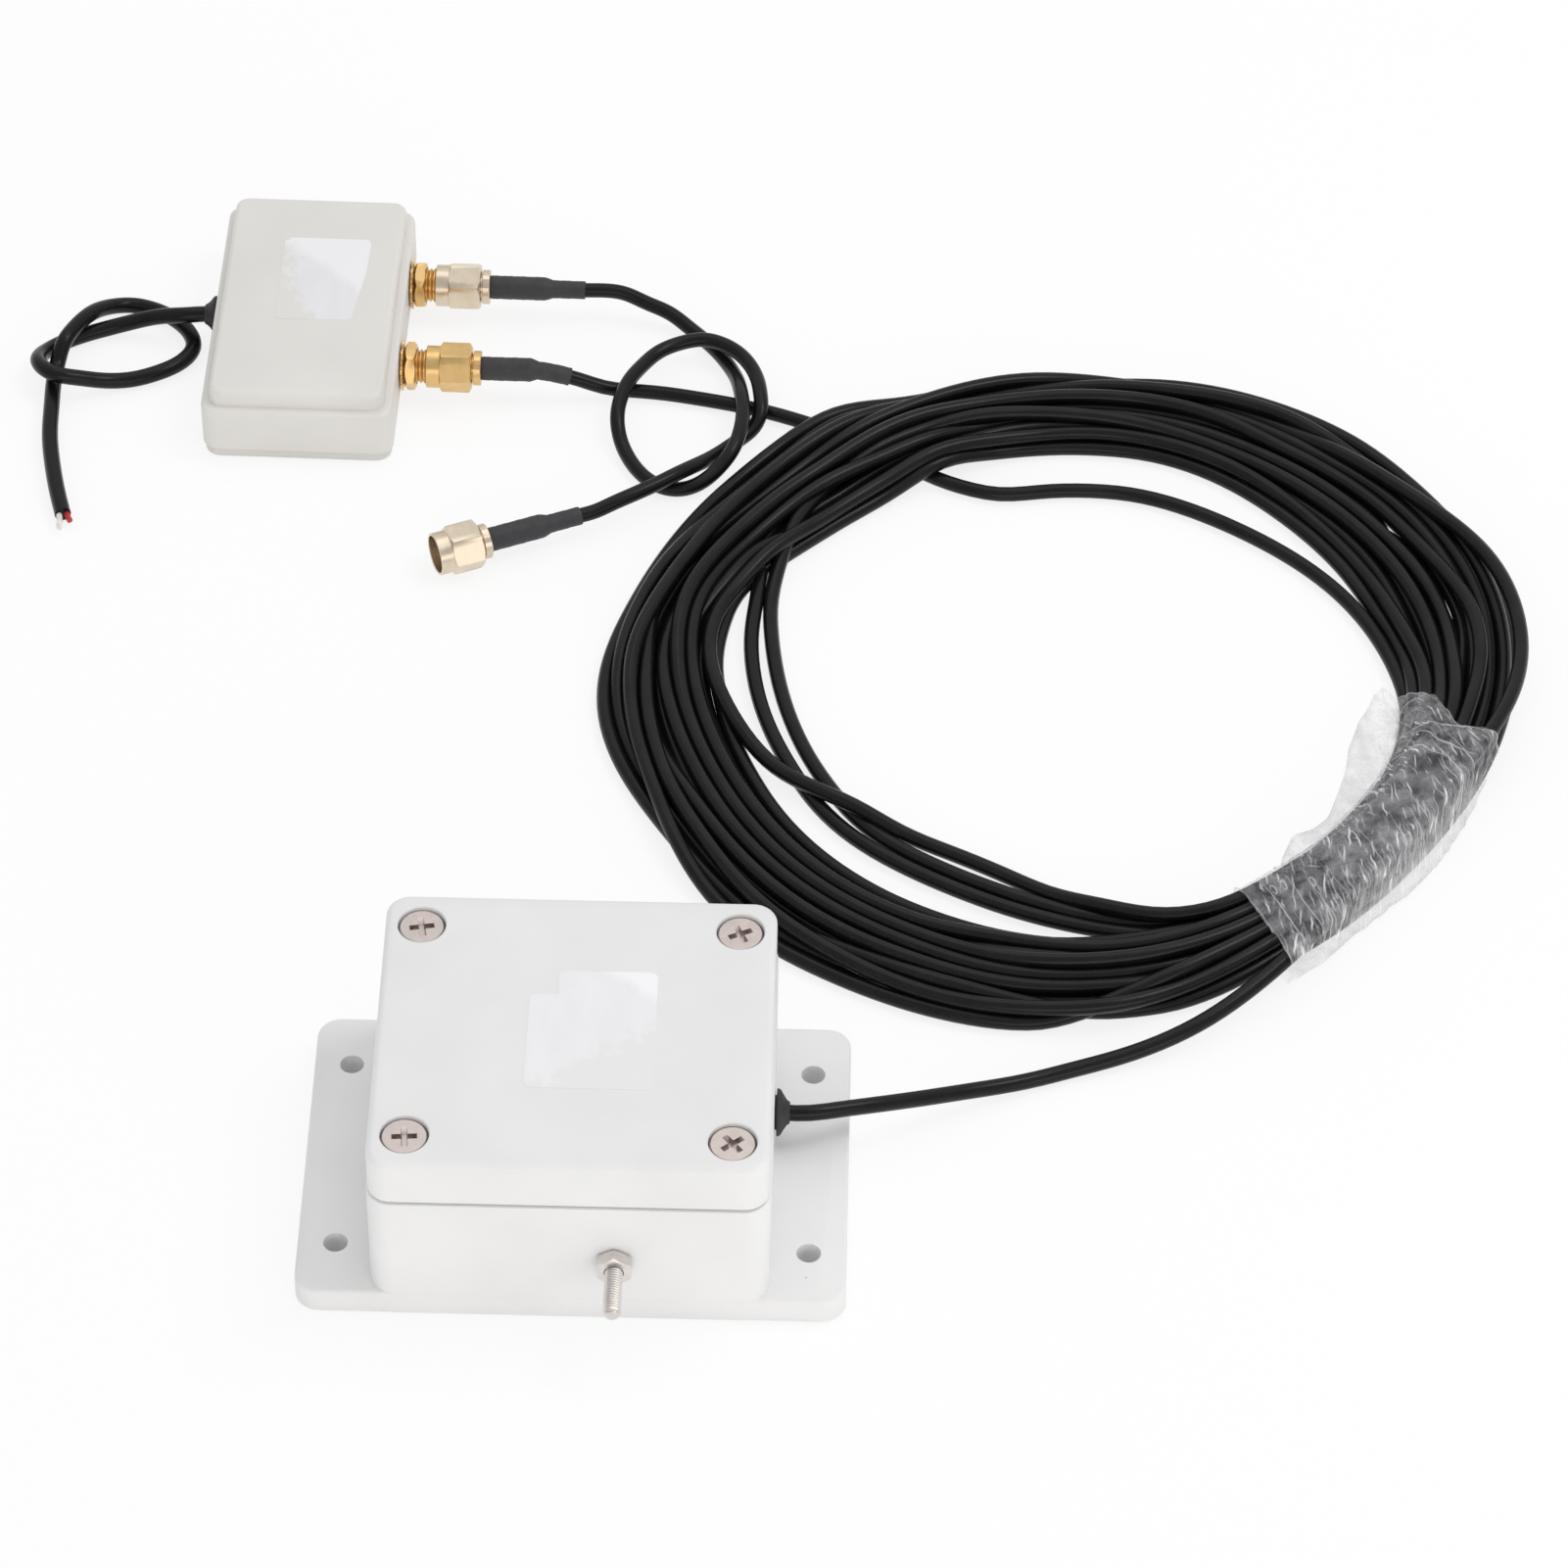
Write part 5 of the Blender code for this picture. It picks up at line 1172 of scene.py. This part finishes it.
def clear_film(name):
    """Clear film: faintly milky where it lies flat; white and denser along its creases, partly the folded
    film itself, partly painted highlight of the light the folds catch.
    """
    milky = (0.66, 0.66, 0.69, 1)
    crease_highlight_white = (0.97, 0.97, 0.98, 1)
    made, tree, shader = shade(name, Roughness=0.16)
    made.surface_render_method = "DITHERED"
    # The crease map paints highlight: white colour and more opacity where folds and layer edges would catch
    # the light
    crease_and_highlight = node(tree, "Attribute", {"attribute_name": "crease_and_highlight"}).outputs["Fac"]
    tree.links.new(mix(tree, crease_and_highlight, milky, crease_highlight_white), shader.inputs["Base Color"])
    spot = node(tree, "TexCoord").outputs["Object"]
    cloud = noise(tree, spot, 260.0, 6.0, 0.62)
    haze = node(tree, "MapRange", Value=cloud, From_Min=0.38, From_Max=0.64, To_Min=0.06, To_Max=0.31)
    haze = haze.outputs[0]
    seen = node(tree, "Math", {"operation": "MULTIPLY_ADD", "use_clamp": True}, _0=crease_and_highlight, _1=0.80, _2=haze)
    tree.links.new(seen.outputs[0], shader.inputs["Alpha"])
    return made


film_rows = 400
flap_points = 30
bundle_points = 172
under_points = 20
film_rounds = flap_points + bundle_points + under_points
film_stand = 0.0003
film_low = 0.00014
# How far the film lies loose on the inside and stands off on the outside, in millimetres at angles
flap_line = [
    (-70, 0.6), (-58, 0.6), (-52, 1.2), (-50, 2.3), (-47, 4.3), (-41, 6.1), (-37, 4.1), (-33, 3.7),
    (-25, 5.8), (-14, 8.0), (-6, 7.5), (2, 3.8), (5, 2.5),
]
overhang_line = [
    (-66, -1.5), (-62, -1.2), (-56, 0.2), (-50, 0.2), (-45, 0.9), (-39, 1.6), (-32, 1.3), (-23, 0.5),
    (-17, 0.0), (-11, -1.0),
]
# The film is drawn flat on 240 rows from its upper to its lower end and 150 columns round the
# bundle: the flap up to 22, over the bundle up to 126, then back under it
drawn_rows = 240
drawn_marks = (0, 22, 126, 150)
columns = np.arange(film_rounds)
mesh_marks = (0, flap_points, flap_points + bundle_points, film_rounds)
drawn_columns = np.interp(columns, mesh_marks, drawn_marks)
# The angles of the film's two ends at these drawn columns
upper_end_line = [
    (0, 2.0), (14, 1.6), (22, 0.2), (30, -1.2), (48, -3.2), (60, -4.6), (66, -7.2), (78, -10.7), (87, -12.8),
    (97, -13.6), (112, -13.9), (126, -14.3), (150, 2.0),
]
lower_end_line = [
    (0, -63.5), (22, -63.0), (40, -62.6), (66, -62.2), (100, -62.6), (126, -62.0), (150, -63.5),
]
section_gap = 0.5
film_angles = np.arange(6.0, -68.0, -section_gap)
facing = np.radians(np.linspace(225.0, -45.0, 361))
facing = np.stack([np.cos(facing), np.sin(facing)], axis=1)


def film_section(angle):
    """Radius and height of points from the flap's edge over the bundle and back under it."""
    passing = ((start_angle - angle) / 360.0 - first_turn + np.arange(-1, 18)) * loop_stations
    passing = passing[(passing >= 0) & (passing <= count - 1)]
    if angle > -12.5:
        passing = passing[passing < (16.9 - first_turn) * loop_stations]
    discs = np.stack([np.interp(passing, np.arange(count), line) for line in (radius, height)], axis=1)
    sizes = np.full(len(discs), coax / 2 + film_stand)
    stand_off = np.interp(angle, *np.array(overhang_line).T) * 0.001
    discs = np.vstack([discs, [discs[:, 0].max() + sizes[0] + stand_off - 0.0002, 0.0004]])
    sizes = np.append(sizes, 0.0002)
    outermost = (discs @ facing.T + sizes[:, None]).argmax(axis=0)
    hull = discs[outermost] + sizes[outermost][:, None] * facing
    lengths = np.concatenate([[0.0], np.cumsum(np.linalg.norm(np.diff(hull, axis=0), axis=1))])
    wanted = np.linspace(0, lengths[-1], bundle_points)
    over = np.stack([np.interp(wanted, lengths, hull[:, k]) for k in range(2)], axis=1)
    tip = over[0, 0] - np.interp(angle, *np.array(flap_line).T) * 0.001
    share = np.linspace(0, 1, flap_points, endpoint=False)
    flap = np.stack([tip + share * (over[0, 0] - tip), film_low + 0.0002 + 0.0006 * share], axis=1)
    share = np.linspace(0, 1, under_points + 2)[1:-1]
    under = np.stack([over[-1, 0] + share * (tip - over[-1, 0]), np.full(under_points, film_low)], axis=1)
    return np.vstack([flap, over, under])


sections = np.array([film_section(angle) for angle in film_angles])
for _ in range(3):
    sections[1:-1] = (sections[:-2] + 2 * sections[1:-1] + sections[2:]) / 4
folds = np.random.default_rng(3)
# Map of folds and layer edges: it lifts the film a little and paints them white, as painted highlight
crease_and_highlight = np.zeros((film_rows, film_rounds))


def draw_crease(line, width, strength):
    """Draws one crease through (row, column) points of the drawing, fading at both ends."""
    line = np.array(line, float)
    on_rows = line[:, 0] * (film_rows - 1) / (drawn_rows - 1)
    line = np.stack([on_rows, np.interp(line[:, 1], drawn_marks, mesh_marks)], axis=1)
    steps = np.concatenate([[0.0], np.cumsum(np.linalg.norm(np.diff(line, axis=0), axis=1))])
    at = np.linspace(0, steps[-1], max(3, int(steps[-1] / 0.35)))
    fade = np.sin(np.pi * np.clip(at / steps[-1], 0.02, 0.98)) ** 0.6
    spots = np.stack([np.interp(at, steps, line[:, k]) for k in range(2)], axis=1)
    reach = math.ceil(2.2 * width)
    for down in range(-reach, reach + 1):
        for aside in range(-reach, reach + 1):
            cells = np.round(spots).astype(int) + (down, aside)
            apart = ((cells - spots) ** 2).sum(axis=1)
            value = strength * fade * np.exp(-apart / (2 * width * width))
            kept = (cells[:, 0] >= 0) & (cells[:, 0] < film_rows)
            np.maximum.at(crease_and_highlight, (cells[kept, 0], cells[kept, 1] % film_rounds), value[kept])


def row_at(angle, column):
    upper = np.interp(column, *np.array(upper_end_line).T)
    lower = np.interp(column, *np.array(lower_end_line).T)
    return (upper - angle) / (upper - lower) * (drawn_rows - 1)


def wavy(length, size):
    """A slow random line."""
    steps = folds.normal(size=length).cumsum()
    return size * (steps - np.linspace(steps[0], steps[-1], length))


# Edges of the separate turns of film, drawn as painted highlight lines, strongest where they pull down over
# the outside
for turn in range(15):
    row = (turn + 0.2 + 0.8 * folds.random()) / 15 * drawn_rows
    across = np.linspace(52 + 36 * folds.random(), 125, 14)
    rows_at = row + 15 * np.clip((across - 74) / 50, 0, 1) ** 1.5 + wavy(14, 0.7)
    draw_crease(np.stack([rows_at, across], axis=1), 0.48, 0.30 + 0.65 * folds.random() ** 1.5)
    if folds.random() < 0.5:
        draw_crease(np.stack([rows_at + 2 + 2 * folds.random(), across], axis=1)[6:], 0.42, 0.40)
# Soft milky folds, short puckers across the bundle painted as bright glints, hair creases on the outside,
# fine creases along the inside, crumples in the flap: of each kind the number, the columns it starts
# between, its reach round the bundle, its lean, its width and its strength
for kind_count, low, high, reach, lean, width, strength in (
    (46, 34, 118, (6, 20), (0.1, 0.8), (2.5, 6.0), (0.04, 0.16)),
    (360, 40, 112, (2, 11), (0.1, 1.0), (0.40, 0.85), (0.12, 1.2)),
    (380, 86, 124, (7, 20), (0.12, 0.45), (0.36, 0.48), (0.06, 0.60)),
    (190, 26, 66, (3, 13), (-1.4, 1.6), (0.36, 0.55), (0.06, 0.60)),
    (150, 1, 21, (2, 9), (-3.0, 3.0), (0.38, 0.70), (0.06, 0.75)),
):
    for _ in range(kind_count):
        column = folds.uniform(low, high)
        row = folds.uniform(2, drawn_rows - 8)
        length = folds.uniform(*reach)
        across = column + np.linspace(-0.5, 0.5, 7) * length
        rows_at = row + np.linspace(-0.5, 0.5, 7) * length * folds.uniform(*lean) + wavy(7, 0.4)
        inside_film = np.clip(across, 1, drawn_marks[2])
        bright = strength[0] + (strength[1] - strength[0]) * folds.random() ** 2.1
        draw_crease(np.stack([rows_at, inside_film], axis=1), folds.uniform(*width), bright)
for _ in range(60):
    row = folds.uniform(10, drawn_rows - 60)
    column = folds.uniform(16, 48)
    length = folds.uniform(10, 40)
    rows_at = row + np.linspace(0, 1, 9) * length
    bright = 0.08 + 0.5 * folds.random() ** 2
    draw_crease(np.stack([rows_at, column + wavy(9, 0.7)], axis=1), 0.42, bright)
# Torn edges of the layers at the upper end, the cut lower end, the fold along the flap
for line, strength in (
    ([(-7, 4), (-6, 16), (-5.2, 30), (-4.4, 46), (-3.8, 60)], 0.60),
    ([(-13.5, 30), (-13, 40), (-12, 58), (-13, 82), (-12, 108)], 0.80),
    ([(-13.5, 46), (-15.5, 62), (-17.5, 76), (-18.5, 92)], 0.85),
    ([(-21, 32), (-19, 44), (-18, 60), (-20.5, 84)], 0.60),
    ([(-12, 108), (-17, 112), (-24, 113)], 0.55),
):
    draw_crease([(row_at(angle, column), column) for angle, column in line], 0.5, strength)
for column_from, column_to, strength in ((0, 64, 0.50), (56, 100, 0.55), (92, 126, 0.60)):
    draw_crease([(0.3, column_from), (0.3, column_to)], 0.55, strength)
for row, strength in ((1, 0.40), (15, 0.70), (30, 0.60), (42, 0.50), (58, 0.36)):
    across = np.linspace(36 + row / 2, 125, 12)
    draw_crease(np.stack([drawn_rows - 1 - row + wavy(12, 0.3), across], axis=1), 0.48, strength)
for low, high in ((2, 96), (88, 160), (150, 202)):
    draw_crease([(low, 0.3), (high, 0.3)], 0.55, 0.45)
for row, column in ((221, 60), (214, 62), (196, 72), (190, 52), (150, 66)):
    turn = np.linspace(0, 2 * math.pi, 14)
    draw_crease(np.stack([row + 1.5 * np.cos(turn), column + 3.2 * np.sin(turn)], axis=1), 0.42, 0.8)
# Most layers lie over the middle of the film, so it is milkier there. The outside, seen edge on, is painted
# whiter: partly its many layers in view, partly painted reflection at the glancing view.
layers = np.sin(np.pi * np.clip(np.linspace(-0.10, 1.15, film_rows), 0, 1))[:, None]
outside_share = np.clip((drawn_columns - 88) / 34, 0, 1) ** 1.4 * (drawn_columns < drawn_marks[2])
crease_and_highlight = np.clip(crease_and_highlight + 0.08 * layers + 0.42 * layers**0.5 * outside_share, 0, 1)

down_film = np.linspace(0, 1, film_rows)[:, None]
upper_end_at = np.interp(drawn_columns, *np.array(upper_end_line).T)
lower_end_at = np.interp(drawn_columns, *np.array(lower_end_line).T)
vertex_angles = upper_end_at + down_film * (lower_end_at - upper_end_at)
section_at = np.clip((film_angles[0] - vertex_angles) / section_gap, 0, len(film_angles) - 1.001)
section_low = section_at.astype(int)
part = (section_at - section_low)[..., None]
film_rz = sections[section_low, columns] * (1 - part) + sections[section_low + 1, columns] * part
along_section = np.roll(film_rz, -1, axis=1) - np.roll(film_rz, 1, axis=1)
normal = np.stack([-along_section[..., 1], along_section[..., 0]], axis=2)
normal /= np.linalg.norm(normal, axis=2, keepdims=True) + 1e-12
ripple = folds.normal(size=(film_rows, film_rounds))
for _ in range(22):
    ripple = (np.roll(ripple, 1, 1) + ripple + np.roll(ripple, -1, 1)) / 3
    ripple[1:-1] = (ripple[:-2] + ripple[1:-1] + ripple[2:]) / 3
ripple = np.abs(ripple) / ripple.std()
on_bundle = (columns >= flap_points) & (columns < film_rounds - under_points)
lift = np.where(on_bundle, 0.00012 * ripple + 0.00018 * crease_and_highlight, 0.0)
film_rz = film_rz + lift[..., None] * normal
on_flap = np.sin(np.pi * np.clip(columns / flap_points, 0, 1))
film_rz[..., 1] += on_flap * (0.00034 * ripple + 0.00024 * crease_and_highlight)
film_rz[..., 1] = np.maximum(film_rz[..., 1], film_low)
film_points = round_coil(film_rz[..., 0], vertex_angles, film_rz[..., 1])
cell = np.arange(film_rows * film_rounds).reshape(film_rows, film_rounds)
beside = np.roll(cell, -1, axis=1)
faces = np.stack([cell[:-1], beside[:-1], beside[1:], cell[1:]], axis=2).reshape(-1, 4)
film_mesh = bpy.data.meshes.new("film")
film_mesh.from_pydata(film_points.reshape(-1, 3).tolist(), [], faces.tolist())
crease_marks = film_mesh.attributes.new("crease_and_highlight", "FLOAT", "POINT")
crease_marks.data.foreach_set("value", crease_and_highlight.ravel().astype(np.float32))
film = bpy.data.objects.new("film_wrap", film_mesh)
bpy.context.scene.collection.objects.link(film)
face_outward(film)
dress(film, clear_film("clear stretch film"), "kit", "coil_film")

# Floor, light and camera
# A white table in soft studio light, seen from the photograph's viewpoint.

table_z = -0.0002
table_glow = 0.82
daylight = 0.72
white = (1, 1, 1, 1)
clear_selection()
bpy.ops.mesh.primitive_plane_add(size=8, location=(0, 0, table_z))
table = bpy.context.object
table.name = "table"
table_white, tree, shader = shade("white table")
tree.nodes.remove(shader)
paths = node(tree, "LightPath").outputs
seen = compute(tree, "MAXIMUM", paths["Is Camera Ray"], paths["Is Glossy Ray"])
seen = compute(tree, "MAXIMUM", seen, paths["Is Transmission Ray"])
lit = node(tree, "BsdfDiffuse", Color=(0.98, 0.98, 0.98, 1)).outputs[0]
plain = node(tree, "Emission", Color=white, Strength=1.0).outputs[0]
glow = compute(tree, "MULTIPLY", seen, table_glow)
blend = node(tree, "MixShader", _0=glow, _1=lit, _2=plain)
tree.links.new(blend.outputs[0], tree.nodes["Material Output"].inputs["Surface"])
table.data.materials.append(table_white)

world = bpy.data.worlds.new("studio")
bpy.context.scene.world = world
world.use_nodes = True
tree = world.node_tree
paths = node(tree, "LightPath").outputs
# Reflections see a room that is brightest high up at the back and dimmest low in front
room_steps = ((0.0, 0.40), (0.40, 0.58), (0.70, 0.60), (0.90, 0.88))
room_slope = (0, 0.35, 0.35)
room_middle = 0.395
way = node(tree, "TexCoord").outputs["Generated"]
rise = node(tree, "VectorMath", {"operation": "DOT_PRODUCT"}, _0=way, _1=room_slope).outputs["Value"]
room = node(tree, "ValToRGB", Fac=compute(tree, "ADD", rise, room_middle))
for i, (place, level) in enumerate(room_steps):
    step = room.color_ramp.elements[i] if i < 2 else room.color_ramp.elements.new(place)
    step.position = place
    step.color = (level, level, level, 1)
lit = node(tree, "Background", Color=white, Strength=daylight).outputs[0]
mirrored = node(tree, "Background", Color=room.outputs["Color"], Strength=1.0).outputs[0]
backdrop = node(tree, "Background", Color=white, Strength=1.0).outputs[0]
seen = compute(tree, "MAXIMUM", paths["Is Camera Ray"], paths["Is Transmission Ray"])
around = node(tree, "MixShader", _0=paths["Is Glossy Ray"], _1=lit, _2=mirrored).outputs[0]
around = node(tree, "MixShader", _0=seen, _1=around, _2=backdrop).outputs[0]
tree.links.new(around, tree.nodes["World Output"].inputs["Surface"])


def soft_box(name, place, aim, size, power, colour=(1, 1, 1)):
    """A rectangular softbox turned towards a point."""
    light = bpy.data.lights.new(name, "AREA")
    light.shape = "RECTANGLE"
    light.size, light.size_y = size
    light.energy = power
    light.color = colour
    lamp = bpy.data.objects.new(name, light)
    bpy.context.scene.collection.objects.link(lamp)
    lamp.location = place
    lamp.rotation_euler = (Vector(aim) - Vector(place)).to_track_quat("-Z", "Y").to_euler()


soft_box("right softbox", (0.50, 0.20, 0.85), (0.03, 0.10, 0), (0.35, 0.35), 1.75)
soft_box("back softbox", (0.02, 0.50, 0.95), (0.03, 0.10, 0), (0.55, 0.55), 0.7)
soft_box("front softbox", (0.32, -0.98, 0.28), (0.03, 0.08, 0), (1.25, 0.55), 3.3, (1.0, 0.97, 0.93))

yaw = math.radians(0.761)
pitch = math.radians(45.436)
roll = math.radians(0.745)
camera_at = (0.04253, -0.70642, 0.81063)
right = Vector((math.cos(yaw), math.sin(yaw), 0))
ahead = Vector((-math.sin(yaw) * math.cos(pitch), math.cos(yaw) * math.cos(pitch), -math.sin(pitch)))
upward = right.cross(ahead)
rolled_right = math.cos(roll) * right + math.sin(roll) * upward
rolled_up = -math.sin(roll) * right + math.cos(roll) * upward
lens = bpy.data.cameras.new("camera")
lens.sensor_width = 36
lens.lens = 149.56
lens.clip_start = 0.01
lens.clip_end = 50
camera = bpy.data.objects.new("camera", lens)
bpy.context.scene.collection.objects.link(camera)
facing_way = Matrix((rolled_right, rolled_up, -ahead)).transposed().to_4x4()
camera.matrix_world = Matrix.Translation(camera_at) @ facing_way
bpy.context.scene.camera = camera
bpy.context.scene.view_settings.view_transform = "Standard"
